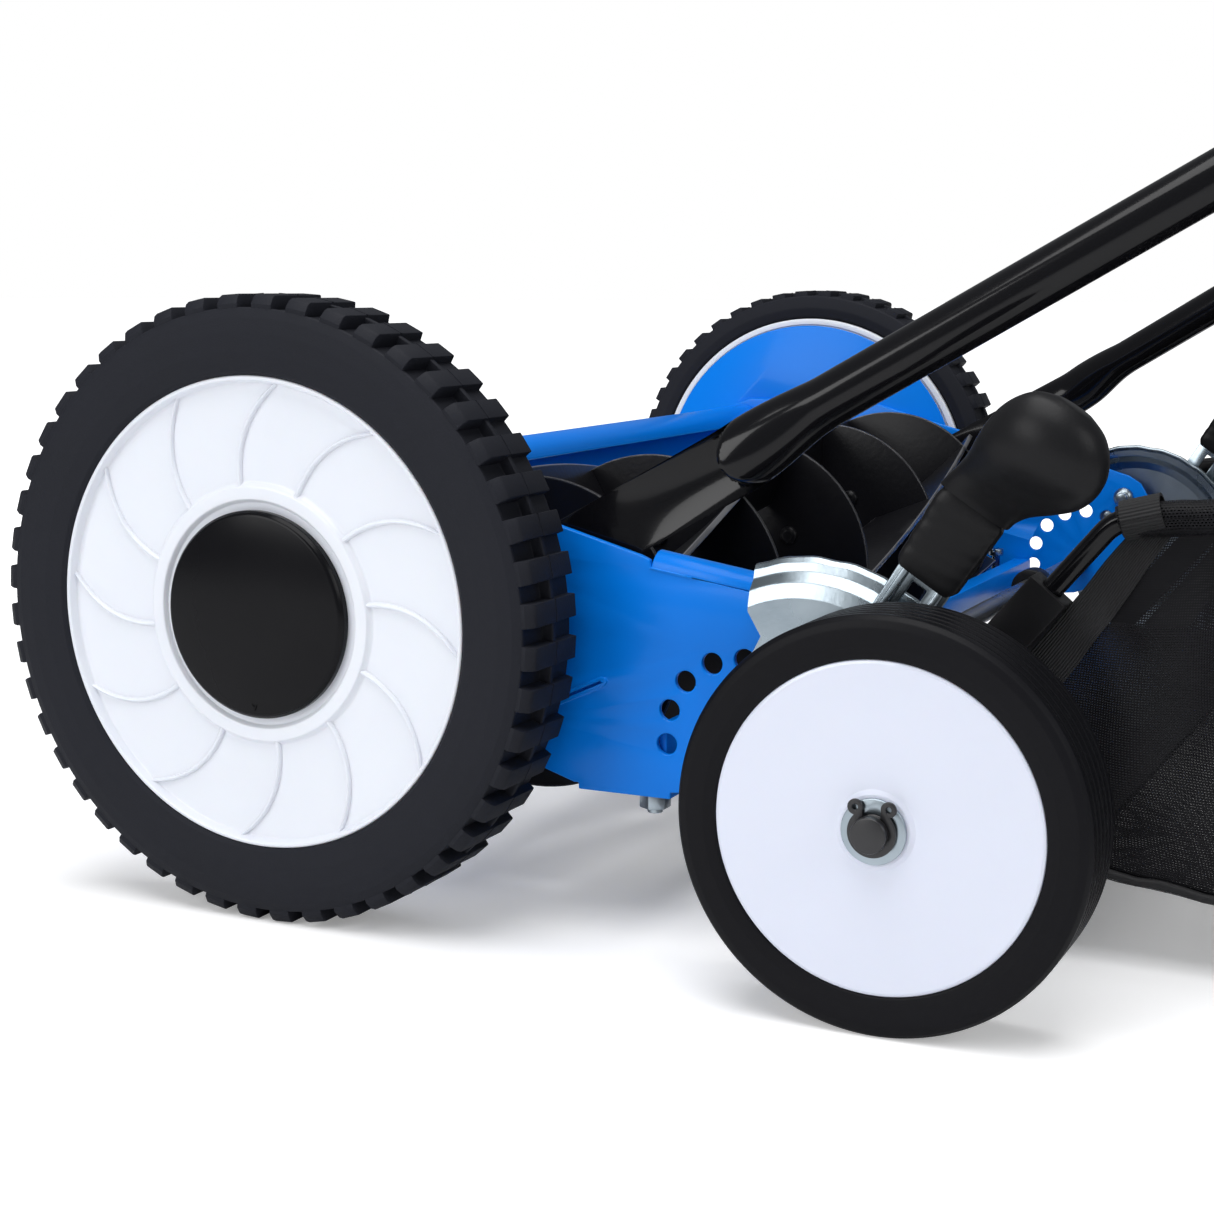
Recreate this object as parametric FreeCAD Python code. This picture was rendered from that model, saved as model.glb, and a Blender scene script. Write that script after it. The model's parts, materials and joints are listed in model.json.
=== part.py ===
# Reel mower with height adjusters, folding handle and grass catcher.
# Units mm. Origin on the ground below the front axle, mid-width.
# +X is the mower's left, +Y points to the handle, +Z is up.
import FreeCAD, Part
import math
import os

V = FreeCAD.Vector
os.makedirs("parts", exist_ok=True)

# running and fitting clearances
slip = 0.02               # radial gap round a bolt or pressed piece
axleRun = 0.05            # radial gap where a wheel or lever turns
hookRun = 0.15            # radial gap of the catcher hooks on the cross rod

# side plates
plateOut = 273.0          # outer face of each side plate from mid-width
plateThick = 2.5
plateIn = plateOut - plateThick

# front wheels
wheelRad = 120.0
tyreWide = 37.8
wheelGap = 9.5            # side plate to front wheel
lugDeep = 3.2
lugCount = 48
tyreDeep = 34.0           # outer tread to the pitch line of the ring of teeth
wheelZ = wheelRad
wheelIn = plateOut + wheelGap
wheelOut = wheelIn + tyreWide
axleRad = 6.0
ribCount = 12
capRad = 39.7

# drive from the front wheels to the reel
gearModule = 2.0
pinionTeeth = 12
ringTeeth = int(round(2 * (wheelRad - tyreDeep) / gearModule))
pitchR = gearModule * ringTeeth / 2
pitchP = gearModule * pinionTeeth / 2
drumRad = pitchR + 2.6
beadRad = drumRad + 1.4   # where the tyre grips the wheel
gearIn = wheelIn + 1.5
gearWide = 12.0

# reel
reelGap = 22.5            # end of the blades to the side plate
reelDrop = 11.73          # angle of the reel axis below the front axle, degrees
centreDist = pitchR - pitchP
reelY = centreDist * math.cos(math.radians(reelDrop))
reelZ = wheelZ - centreDist * math.sin(math.radians(reelDrop))
reelHalf = plateIn - reelGap
bladeRad = 66.0
bladeDeep = 34.0
bladeThick = 2.4
bladeTwist = -0.2         # degrees of twist for each mm along X
bladeFirst = -0.8         # angle of the first blade at mid-width
bladeCount = 5
discInset = 2.6           # discs stop short of the cutting edge
discCount = 5
discEnd = 20.4            # outer discs stand in from the blade ends
discStep = 2 * (reelHalf - discEnd) / (discCount - 1)
discThick = 2.0
hubRad = 13.5
rivetRing = 27.0
rivetRad = 2.5
shaftRad = 8.0

# reel bearings
ballRad = 1.6
ballCount = 12
ballRing = shaftRad + 3.35
raceRad = ballRing + 4.65
housingRad = raceRad + 3.0
housingIn = plateIn - 8.5

# bed knife and bed bar
knifeGap = 0.6            # blade circle to knife edge
knifeAngle = -45.8        # knife edge seen from the reel axis, degrees
knifeThick = 2.8
shelfDeep = 25.0
shelfThick = 3.0
webHigh = 18.5
boltRad = 3.0
screwRad = 2.5
screwCount = 5
edgeY = reelY + (bladeRad + knifeGap) * math.cos(math.radians(knifeAngle))
edgeZ = reelZ + (bladeRad + knifeGap) * math.sin(math.radians(knifeAngle))
shelfZ = edgeZ + 0.3
shelfY = edgeY + 5.1
webY = shelfY + shelfDeep

# front tie bar
tieY = -39.0
tieZ = wheelZ + 36.7
tieRad = 11.0
tieThick = 2.0
tieBoltSpots = ((tieY - 1, tieZ - 10.7), (tieY - 1, tieZ + 3.3))

# cross rod, the pivot of both height adjusters
pivotY = reelY + 107.6
pivotZ = reelZ - 24.9
rodRad = 5.0
rodNut = 16.0

# height adjusters
dishGap = 2.6             # side plate to the rolled rim
dishDeep = 10.9
dishThick = 1.8
dishRad = 62.5
dishY = pivotY + 27.9
dishZ = pivotZ + 6.9
dishOut = plateOut + dishGap + dishDeep
holeRing = 29.8
holeRad = 4.0
holeStep = 25.0           # degrees between settings
holeFirst = 63.0
holeCount = 6
pinRad = 3.6
leverWide = 18.0
leverThick = 2.0
leverAngle = 57.0
sleeveThick = 9.2
knobRad = 20.5
rivetSpots = ((dishY + 6, dishZ + 0.5), (dishY + 18, dishZ + 19))

# rear wheels
rearRad = 70.0
rearWide = 35.0
rearGap = 13.5            # dish to rear wheel
rearHubRad = 54.0
rearY = pivotY + 71.4
rearZ = rearRad
rearIn = dishOut + rearGap
rearOut = rearIn + rearWide
grooveCount = 5

# handle
legRad = 9.5
legWall = 1.5
legFlat = 25.5
legThick = 4.6
legInset = 6.8            # side plate to the middle of the crushed end
legX = plateOut - legInset
legPivotY = reelY + 25.5
legPivotZ = reelZ + 33.444
legBoltRad = 4.0
flatSlope = 0.557
legSlope = 0.60
legLean = -0.22
legRun = 320.0            # forward run of the round part of each leg
joinRun = 55.0            # overlap of the upper handle on the legs
handleRise = 336.8        # from the upper handle's bend to the cross bar
handleRun = 395.0
handleBend = 50.0
foamThick = 5.5
braceRad = 7.0
braceRun = 210.0
knobRun = 292.0

# grass catcher
bagGap = 10.0             # blade ends to the sides of the bag
bagHalf = reelHalf - bagGap
wireRad = 4.0
wireX = bagHalf + 2
wireTaper = 10.0
wireLowY = pivotY + 31.9
wireLowZ = pivotZ - 28.1
wireRise = 111.5
wireRun = 93.0
bagLong = 295.0
bagSkin = 1.5
railHalf = 8.0
railWide = 12.8
trayThick = 3.0
hookX = 150.0
hookWide = 14.0


def cylX(x0, x1, rad, y=0.0, z=0.0):
    return Part.makeCylinder(rad, x1 - x0, V(x0, y, z), V(1, 0, 0))


def cylZ(z0, z1, rad, x, y):
    return Part.makeCylinder(rad, z1 - z0, V(x, y, z0))


def ringX(x0, x1, outer, inner, y=0.0, z=0.0):
    return cylX(x0, x1, outer, y, z).cut(cylX(x0 - 1, x1 + 1, inner, y, z))


def boxAt(x0, x1, y0, y1, z0, z1):
    return Part.makeBox(x1 - x0, y1 - y0, z1 - z0, V(x0, y0, z0))


# flat outline of (y, z) points pushed out along X
def slabX(points, x0, x1):
    pts = [V(x0, y, z) for y, z in points]
    face = Part.Face(Part.makePolygon(pts + [pts[0]]))
    return face.extrude(V(x1 - x0, 0, 0))


# outline of (x, r) points turned about the X axis through (y, z)
def turnX(profile, y=0.0, z=0.0):
    pts = [V(x, y, z + r) for x, r in profile]
    face = Part.Face(Part.makePolygon(pts + [pts[0]]))
    return face.revolve(V(0, y, z), V(1, 0, 0), 360)


def hexPoints(across, a, b):
    rad = across / math.sqrt(3)
    turns = [math.radians(60 * i) for i in range(6)]
    return [(a + rad * math.cos(t), b + rad * math.sin(t)) for t in turns]


def hexX(x0, x1, across, y, z):
    return slabX(hexPoints(across, y, z), x0, x1)


def hexZ(z0, z1, across, x, y):
    pts = [V(a, b, z0) for a, b in hexPoints(across, x, y)]
    face = Part.Face(Part.makePolygon(pts + [pts[0]]))
    return face.extrude(V(0, 0, z1 - z0))


def offsets(points, y, z):
    return [(y + a, z + b) for a, b in points]


def mirrored(shape):
    return shape.mirror(V(0, 0, 0), V(1, 0, 0))


def joined(shapes):
    out = shapes[0]
    if len(shapes) > 1:
        out = out.multiFuse(shapes[1:])
    return out.removeSplitter()


def evenly(count, half):
    return [-half + 2 * half * i / (count - 1) for i in range(count)]


def save(node, shapes):
    if not isinstance(shapes, list):
        shapes = [shapes]
    solids = []
    for shape in shapes:
        solids += shape.Solids
    whole = solids[0] if len(solids) == 1 else Part.makeCompound(solids)
    whole.exportStep("parts/" + node + ".step")
    print(node, len(solids))


def saveBoth(stem, shape):
    save(stem + "_left", shape)
    save(stem + "_right", mirrored(shape))


def saveGroup(node, shape):
    save(node, [shape, mirrored(shape)])


# wire through the points with each inner corner rounded
def rounded(points, rad):
    edges = []
    start = points[0]
    for i in range(1, len(points) - 1):
        a = (points[i - 1] - points[i]).normalize()
        b = (points[i + 1] - points[i]).normalize()
        half = math.acos(max(-1, min(1, a.dot(b)))) / 2
        back = rad / math.tan(half)
        p0 = points[i] + a * back
        p1 = points[i] + b * back
        mid = points[i] + (a + b).normalize() * (rad / math.sin(half) - rad)
        edges.append(Part.LineSegment(start, p0).toShape())
        edges.append(Part.Arc(p0, mid, p1).toShape())
        start = p1
    edges.append(Part.LineSegment(start, points[-1]).toShape())
    return Part.Wire(edges)


def swept(points, rad, bend):
    wire = rounded(points, bend)
    along = points[1] - points[0]
    ring = Part.Wire(Part.makeCircle(rad, points[0], along))
    return wire.makePipeShell([ring], True, False)


def tube(points, outer, inner, bend):
    return swept(points, outer, bend).cut(swept(points, inner, bend))


# side plates
flangeLow = shelfZ - plateThick
guideY = pivotY + 23.3
guideZ = pivotZ + 38.9
bedBoltX = plateOut - 11
bedBoltY = webY - 8
adjustX = plateOut - 17
adjustY = shelfY + 7


def holeSpot(i):
    a = math.radians(holeFirst + holeStep * i)
    return pivotY + holeRing * math.cos(a), pivotZ + holeRing * math.sin(a)


def plateLine():
    front = [(-15, -10.7), (-13, 3.3), (-7, 11.3), (3, 15.3)]
    points = offsets(front, tieY, tieZ)
    points += [(46, wheelZ + 51), (99, wheelZ + 37)]
    points += [(legPivotY + 42, legPivotZ + 7.1), (legPivotY + 45.5, legPivotZ + 5.6)]
    points += offsets([(-36.1, 60.9), (3.9, 54.5), (9.9, 56.5), (25.9, 51.7), (32.9, 47.4), (36.9, 40.9),
                       (39.9, 25.9), (33.9, 5.9), (19.9, -11.1)], pivotY, pivotZ)
    points += [(webY + 27, flangeLow + 5), (webY + 3, flangeLow + 2.5), (shelfY - 12, flangeLow + 2.5)]
    points += [(shelfY - 26, flangeLow + 7), (shelfY - 64, flangeLow + 17), (20, wheelZ - 40)]
    points += [(-20, wheelZ - 28), (-46, wheelZ - 8)]
    return points


def sidePlate():
    plate = slabX(plateLine(), plateIn, plateOut)
    # rolled edge behind the notch, where the handle leg comes to rest
    lipRad = 6.5
    lipY = pivotY - 36.1
    lipZ = pivotZ + 60.8
    along = V(0, 40, -6.4)
    lip = Part.makeCylinder(lipRad, 40.6, V(plateOut - lipRad, lipY, lipZ), along)
    lip = lip.cut(Part.makeCylinder(lipRad - plateThick, 44, V(plateOut - lipRad, lipY - 1.6,
        lipZ + 0.25), along))
    below = offsets([(-4, -21), (46, -29), (46, -6.9), (-4, 0.5)], lipY, lipZ)
    plate = plate.fuse(lip.cut(slabX(below, plateOut - 23, plateOut + 7)))
    # bottom flange that carries the bed bar
    flange = boxAt(plateOut - 21, plateOut, shelfY - 10, webY + 3, flangeLow, shelfZ)
    plate = plate.fuse(flange)
    # pressed slot on the outside, closed at the back
    slotY = pivotY - 68.1
    slotZ = pivotZ + 9.3
    raised = offsets([(0, 0), (13, 6), (14.4, 8), (13.6, 9.6), (11.6, 9.6), (-16, -3.2), (-16, -7.4)],
        slotY, slotZ)
    sunk = offsets([(0, 1.8), (12.2, 7.4), (11.6, 8.2), (-14, -3.6), (-14, -4.8)], slotY, slotZ)
    plate = plate.fuse(slabX(raised, plateOut, plateOut + 1.0))
    plate = plate.cut(slabX(sunk, plateOut - 1.2, plateOut + 2))
    holes = [(0, wheelZ, axleRad + slip), (reelY, reelZ, housingRad + slip), (pivotY, pivotZ,
        rodRad + slip),
             (legPivotY, legPivotZ, legBoltRad + slip), (guideY, guideZ, boltRad + slip)]
    holes += [(*holeSpot(i), holeRad) for i in range(holeCount)]
    holes += [(y, z, boltRad + slip) for y, z in tieBoltSpots]
    for y, z, rad in holes:
        plate = plate.cut(cylX(plateIn - 9, plateOut + 17, rad, y, z))
    plate = plate.cut(cylZ(flangeLow - 5, shelfZ + 2, boltRad + slip, bedBoltX, bedBoltY))
    plate = plate.cut(cylZ(flangeLow - 5, shelfZ + 2, screwRad + 0.7, adjustX, adjustY))
    return plate.removeSplitter()


saveBoth("side_plate", sidePlate())


# dished cover over the drive of each front wheel
def gearCover():
    flat = pitchR - 7.4
    rim = pitchR + 12
    x = plateOut
    cover = turnX([
        (x, axleRad + 1), (x + 1.5, axleRad + 1), (x + 1.5, flat), (x + 7, flat + 12.4), (x + 8.5,
            flat + 13.4),
        (x + 8.5, rim), (x + 7, rim), (x + 6.2, flat + 13.8), (x, flat + 0.8)], 0, wheelZ)
    cover = cover.cut(cylX(x - 13, x + 17, housingRad - 2.5, reelY, reelZ))
    # room for the handle's bolt and the open side towards the reel
    away = offsets([(-28, -78.4), (32, -78.4), (32, 21.6), (-6, 21.6), (-6, -54.4), (-28, -54.4)],
                   legPivotY, legPivotZ)
    cover = cover.cut(slabX(away, x - 1, x + 1.9))
    for y, z in tieBoltSpots:
        cover = cover.cut(cylX(x - 11, x + 17, 7.2, y, z))
    return cover


saveBoth("gear_cover", gearCover())


# front tie bar: a rolled sheet, open below, with a tab on each side plate
def tieBar():
    end = plateIn - 3
    hollow = tieRad - tieThick
    roll = cylX(-end, end, tieRad, tieY, tieZ).cut(cylX(-end - 1, end + 1, hollow, tieY, tieZ))
    roll = roll.cut(boxAt(-end - 1, end + 1, tieY - 21, tieY + 19, tieZ - 17, tieZ))
    skirt = boxAt(-end, end, tieY - tieRad, tieY - hollow, tieZ - 20.7, tieZ)
    foot = boxAt(-end, end, tieY - tieRad, tieY - tieRad + 6, tieZ - 22.7, tieZ - 20.7)
    parts = [roll, skirt, foot]
    outline = offsets([(-tieRad, -20.7), (9, -18.7), (11, 1.3), (5, 9.3), (-7, 7.3), (-tieRad, 1.3)],
        tieY, tieZ)
    for x0, x1 in ((end, plateIn), (-plateIn, -end)):
        parts.append(slabX(outline, x0, x1))
    bar = joined(parts)
    for y, z in tieBoltSpots:
        bar = bar.cut(cylX(-plateOut, plateOut, boltRad + slip, y, z))
        for x0, x1 in ((plateIn - 9, end), (-end, 9 - plateIn)):
            bar = bar.cut(cylX(x0, x1, 6.2, y, z))
    return bar


def tieBolt(y, z):
    bolt = cylX(plateIn - 6.5, plateOut + 4.5, boltRad, y, z)
    head = hexX(plateOut, plateOut + 4, 10, y, z)
    nut = hexX(plateIn - 7.5, plateIn - 3, 10, y, z)
    return joined([bolt, head, nut])


save("front_tie_bar", tieBar())
bolts = []
for y, z in tieBoltSpots:
    bolts += [tieBolt(y, z), mirrored(tieBolt(y, z))]
save("tie_bar_bolts", bolts)

# bed bar: an upright web with a shelf that lies on the plate flanges
barHalf = plateIn - 1
knifeY = shelfY + 11
screwSpots = evenly(screwCount, reelHalf - 48)


def bedBar():
    shelf = boxAt(-barHalf, barHalf, shelfY, webY, shelfZ, shelfZ + shelfThick)
    web = boxAt(-barHalf, barHalf, webY - shelfThick, webY, shelfZ, shelfZ + shelfThick + webHigh)
    top = shelfZ + shelfThick + webHigh
    lip = boxAt(-barHalf, barHalf, webY - 10, webY, top - 2.5, top)
    bar = joined([shelf, web, lip])
    holes = [(s * bedBoltX, bedBoltY, boltRad + slip) for s in (-1, 1)]
    holes += [(s * adjustX, adjustY, screwRad + slip) for s in (-1, 1)]
    holes += [(x, knifeY, screwRad + slip) for x in screwSpots]
    for x, y, rad in holes:
        bar = bar.cut(cylZ(shelfZ - 5, shelfZ + shelfThick + 5, rad, x, y))
    return bar


def bedKnife():
    low = shelfZ - knifeThick
    outline = [(edgeY, edgeZ), (edgeY + 4.1, low), (webY - 5, low), (webY - 5, shelfZ), (edgeY + 0.5,
        shelfZ)]
    knife = slabX(outline, -reelHalf - 2, reelHalf + 2)
    for x in screwSpots:
        knife = knife.cut(cylZ(low - 5, shelfZ + 5, screwRad + slip, x, knifeY))
    return knife


def knifeScrew(x):
    low = shelfZ - knifeThick - 1.7
    top = shelfZ + shelfThick
    shank = cylZ(low, top + 0.3, screwRad, x, knifeY)
    head = cylZ(top, top + 2.4, screwRad + 2.1, x, knifeY)
    end = cylZ(low, low + 1.7, screwRad + 1.7, x, knifeY)
    return joined([shank, head, end])


def bedBolt():
    top = shelfZ + shelfThick
    shank = cylZ(flangeLow - 8.5, top + 3, boltRad, bedBoltX, bedBoltY)
    head = hexZ(top, top + 4, 9, bedBoltX, bedBoltY)
    nut = hexZ(flangeLow - 6.5, flangeLow, 10.5, bedBoltX, bedBoltY)
    return joined([shank, head, nut])


def adjustScrew():
    top = shelfZ + shelfThick
    end = shelfZ + 28.5
    shank = cylZ(shelfZ - 6.5, end - 1, screwRad, adjustX, adjustY)
    head = cylZ(end - 4, end, screwRad + 2.1, adjustX, adjustY)
    nut = hexZ(top, top + 4.5, 8, adjustX, adjustY)
    jam = hexZ(top + 7.5, top + 11, 8, adjustX, adjustY)
    slot = boxAt(adjustX - 6, adjustX + 6, adjustY - 0.6, adjustY + 0.6, end - 1.4, end + 1)
    return joined([shank, head, nut, jam]).cut(slot)


save("bed_bar", bedBar())
save("bed_knife", bedKnife())
save("knife_screws", [knifeScrew(x) for x in screwSpots])
saveGroup("bed_bolts", bedBolt())
saveGroup("bed_adjusters", adjustScrew())

# cross rod through both adjuster pivots
rodEnd = dishOut + 8.5
save("cross_rod", cylX(-rodEnd, rodEnd, rodRad, pivotY, pivotZ))
nutIn = dishOut + 0.8
nut = hexX(nutIn, nutIn + 6, rodNut, pivotY, pivotZ)
saveGroup("rod_nuts", nut.cut(cylX(nutIn - 5, nutIn + 9, rodRad + slip, pivotY, pivotZ)))

# reel bearings
housing = turnX([
    (housingIn, raceRad + slip), (housingIn, housingRad), (plateIn - 1.1, housingRad),
    (plateIn - 1.1, housingRad + 3.5), (plateIn, housingRad + 3.5), (plateIn, housingRad),
    (plateOut - 0.2, housingRad), (plateOut - 0.2, shaftRad + 3), (plateIn - 0.3, shaftRad + 3),
    (plateIn - 0.3, raceRad + slip)], reelY, reelZ)
saveGroup("bearing_housings", housing)
ballX = housingIn + 4.3
grip = ballRing + 1.55
race = turnX([
    (ballX - 3.7, grip), (ballX - 3.7, raceRad), (ballX + 3.7, raceRad), (ballX + 3.7, grip),
    (ballX + 1.6, grip), (ballX, ballRing + ballRad + 0.35), (ballX - 1.6, grip)], reelY, reelZ)
saveGroup("bearing_outer_rings", race)
balls = []
for i in range(ballCount):
    a = 2 * math.pi * i / ballCount
    for x in (-ballX, ballX):
        centre = V(x, reelY + ballRing * math.cos(a), reelZ + ballRing * math.sin(a))
        balls.append(Part.makeSphere(ballRad, centre))
save("bearing_balls", balls)

# reel shaft with its inner races, then the discs and blades
innerRace = shaftRad + 1.3
stubRad = shaftRad - 2
shaftEnd = gearIn + gearWide
rightHalf = [
    (ballX - 3.7, shaftRad), (ballX - 3.7, innerRace), (ballX + 3.7, innerRace), (ballX + 5.2, shaftRad),
    (ballX + 5.2, stubRad), (shaftEnd, stubRad), (shaftEnd, 0)]
shaft = turnX([(-x, r) for x, r in rightHalf[::-1]] + rightHalf, reelY, reelZ)
pawlIn = gearIn + 4
pawlWide = 4.0
pawlCut = boxAt(pawlIn - 0.1, pawlIn + pawlWide + 0.1, -2.02, 2.02, -shaftRad, shaftRad)
pawlCut.translate(V(0, reelY, reelZ))
shaft = shaft.cut(pawlCut).cut(mirrored(pawlCut))
save("reel_shaft", shaft)


def bladeSection(x):
    a = math.radians(bladeFirst + bladeTwist * x)
    out = V(0, math.cos(a), math.sin(a))
    side = V(0, -math.sin(a), math.cos(a))
    mid = V(x, reelY, reelZ)
    half = bladeThick / 2
    lowR = bladeRad - bladeDeep
    corners = [(lowR, -half), (bladeRad, -half), (bladeRad, half), (lowR, half)]
    pts = [mid + out * r + side * t for r, t in corners]
    return Part.makePolygon(pts + [pts[0]])


oneBlade = Part.makeLoft([bladeSection(x) for x in evenly(17, reelHalf)], True, False)
blades = []
for i in range(bladeCount):
    turned = oneBlade.copy()
    turned.rotate(V(0, reelY, reelZ), V(1, 0, 0), 360.0 * i / bladeCount)
    blades.append(turned)
save("reel_blades", blades)


# a stamped disc with its hub, slotted for the blades and riveted between them
def reelDisc(x, spots):
    half = discThick / 2
    disc = cylX(x - half, x + half, bladeRad - discInset, reelY, reelZ)
    disc = disc.fuse(cylX(x - 7, x + 7, hubRad, reelY, reelZ))
    disc = disc.cut(cylX(x - 9, x + 9, shaftRad, reelY, reelZ))
    for one in blades:
        disc = disc.cut(one)
    for y, z in spots:
        disc = disc.cut(cylX(x - 9, x + 9, rivetRad, y, z))
    return disc


def rivet(x, y, z):
    half = discThick / 2
    head = half + 2.4
    pin = cylX(x - head + 0.4, x + head - 0.4, rivetRad, y, z)
    for x0, x1 in ((x - head, x - half), (x + half, x + head)):
        pin = pin.fuse(ringX(x0, x1, rivetRad + 2.1, rivetRad, y, z))
    return pin.removeSplitter()


discs = []
rivets = []
for x in evenly(discCount, discStep * (discCount - 1) / 2):
    spots = []
    for k in range(bladeCount):
        a = math.radians(bladeFirst + bladeTwist * x + 360.0 * (k + 0.5) / bladeCount)
        spots.append((reelY + rivetRing * math.cos(a), reelZ + rivetRing * math.sin(a)))
    discs.append(reelDisc(x, spots))
    rivets += [rivet(x, y, z) for y, z in spots]
save("reel_discs", discs)
save("disc_rivets", rivets)


# drive: pinion on the shaft meshes inside the wheel's ring of teeth
def toothRing(count, rootRad, tipRad, halfRoot, halfTip, x0, x1, y, z, turn):
    pts = []
    for i in range(count):
        mid = math.radians(turn) + 2 * math.pi * i / count
        for rad, half in ((rootRad, -halfRoot), (tipRad, -halfTip), (tipRad, halfTip), (rootRad, halfRoot)):
            a = mid + half / rad
            pts.append((y + rad * math.cos(a), z + rad * math.sin(a)))
    return slabX(pts, x0, x1)


pinion = toothRing(pinionTeeth, pitchP - 1.15 * gearModule, pitchP + 0.8 * gearModule, 0.925 * gearModule,
                   0.375 * gearModule, gearIn + 2.6, gearIn + 9.4, reelY, reelZ, -reelDrop)
notch = boxAt(gearIn, gearIn + gearWide, -2.1, 2.1, 0, stubRad + 2.3)
notch.translate(V(0, reelY, reelZ))
pinion = pinion.cut(cylX(gearIn, gearIn + gearWide, stubRad + slip, reelY, reelZ)).cut(notch)
saveGroup("drive_pinions", pinion)
pawl = boxAt(pawlIn, pawlIn + pawlWide, -2, 2, 0.4 - stubRad, stubRad + 1.9)
pawl.translate(V(0, reelY, reelZ))
saveGroup("drive_pawls", pawl)

# front wheels
webOut = wheelOut - 6.3
rimOut = wheelOut - 2.5
flangeRad = beadRad + 12.3
seatRad = beadRad + 4
ringRad = capRad + 6.2


# curved rib on the wheel face, from the raised ring out to the rim
def wheelRib(turn):
    first = ringRad + 1.6
    last = beadRad - 1.7
    line = []
    for i in range(7):
        t = i / 6.0
        line.append((first + (last - first) * t, math.radians(turn - 15 * t ** 1.9)))
    pts = []
    for sign in (-1, 1):
        row = []
        for rad, a in line:
            off = a + sign * 0.8 / rad
            row.append((rad * math.cos(off), wheelZ + rad * math.sin(off)))
        pts += row if sign < 0 else row[::-1]
    return slabX(pts, webOut - 0.4, webOut + 1.6)


def frontHub():
    barrel = axleRad + 10
    bore = axleRad + axleRun
    hub = turnX([
        (wheelIn + 2, bore), (wheelIn + 2, barrel), (webOut - 3, barrel + 4), (webOut - 3, drumRad - 4.6),
        (gearIn + gearWide, drumRad), (wheelIn + 0.7, drumRad), (wheelIn + 0.7, flangeRad - 3.3),
        (wheelIn, flangeRad - 3.3), (wheelIn, flangeRad), (wheelIn + 3.5, flangeRad), (wheelIn + 3.5,
            seatRad),
        (webOut - 5, seatRad), (webOut - 3, beadRad), (rimOut, beadRad), (rimOut, beadRad - 1.8),
        (webOut, beadRad - 2.6), (webOut, ringRad + 2.7), (webOut + 2.2, ringRad + 2.3),
        (webOut + 2.2, ringRad - 2.3), (webOut, ringRad - 2.7), (webOut, barrel), (webOut - 2.5, barrel),
        (webOut - 2.5, bore)], 0, wheelZ)
    tip = pitchR - 0.75 * gearModule
    gaps = toothRing(ringTeeth, tip, pitchR + 1.1 * gearModule, gearModule, gearModule / 2,
                     gearIn - 1, gearIn + gearWide, 0, wheelZ, -reelDrop)
    teeth = ringX(gearIn, gearIn + gearWide, beadRad, tip, 0, wheelZ).cut(gaps)
    ribs = [wheelRib(360.0 / ribCount * i + 8) for i in range(ribCount)]
    return hub.multiFuse([teeth] + ribs).removeSplitter()


def frontTyre():
    floorRad = wheelRad - lugDeep
    base = turnX([
        (wheelIn + 3.5, seatRad), (wheelIn + 3.5, flangeRad + 0.3), (wheelIn + 0.9, flangeRad + 1.7),
        (wheelIn, flangeRad + 5.7), (wheelIn + 1.5, floorRad), (wheelOut - 1.7, floorRad),
        (wheelOut, floorRad - 3.6), (wheelOut, beadRad + 8), (wheelOut - 2.3, beadRad + 1),
        (wheelOut - 3.3, beadRad), (webOut - 3, beadRad), (webOut - 5, seatRad)], 0, wheelZ)
    lugs = toothRing(lugCount, floorRad - 0.6, wheelRad, 4.9, 4.4, wheelIn + 2.1, wheelOut - 2.7, 0,
        wheelZ, 0)
    lugs = lugs.cut(cylX(wheelIn, wheelOut, floorRad - 1.6, 0, wheelZ))
    return base.fuse(lugs).removeSplitter()


def hubCap():
    crown = webOut + 6.8
    return turnX([
        (webOut, capRad - 3.2), (webOut, capRad), (webOut + 3.5, capRad), (webOut + 5.6, capRad - 1.7),
        (crown - 0.2, capRad - 9.7), (crown, 0), (crown - 2, 0), (crown - 2.2, capRad - 9.7),
        (webOut + 3.4, capRad - 3.2)], 0, wheelZ)


saveBoth("front_hub", frontHub())
saveBoth("front_tyre", frontTyre())
saveBoth("hub_cap", hubCap())
clipX = webOut - 2
axle = joined([cylX(plateIn - 8, webOut - 0.4, axleRad, 0, wheelZ), hexX(plateIn - 8, plateIn, 17, 0,
    wheelZ)])
axle = axle.cut(ringX(clipX - 0.1, clipX + 1.1, axleRad + 4, axleRad - 0.9, 0, wheelZ))
saveGroup("front_axles", axle)
clip = ringX(clipX, clipX + 1, axleRad + 4.5, axleRad - 0.9, 0, wheelZ)
clip = clip.cut(boxAt(clipX - 1, clipX + 2, -3.4, 3.4, wheelZ - 20, wheelZ))
saveGroup("axle_clips", clip)

# bolt that guides the adjuster, and the handle's pivots
guide = joined([cylX(plateIn - 7, plateOut + 6, boltRad, guideY, guideZ), hexX(plateOut, plateOut + 4, 9,
    guideY, guideZ)])
dome = turnX([(plateIn, 0), (plateIn, 6), (plateIn - 2.3, 5.6), (plateIn - 3.9, 4), (plateIn - 3.9, 0)],
    guideY, guideZ)
saveGroup("guide_bolts", guide.fuse(dome).removeSplitter())
legFace = legX - legThick / 2
pivot = joined([
    cylX(legFace - 1.9, plateOut + 4, legBoltRad, legPivotY, legPivotZ),
    cylX(legFace - 2.9, legFace - 0.5, legBoltRad + 4.5, legPivotY, legPivotZ),
    hexX(plateOut, plateOut + 4.5, 12, legPivotY, legPivotZ)])
saveGroup("handle_pivots", pivot)


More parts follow.
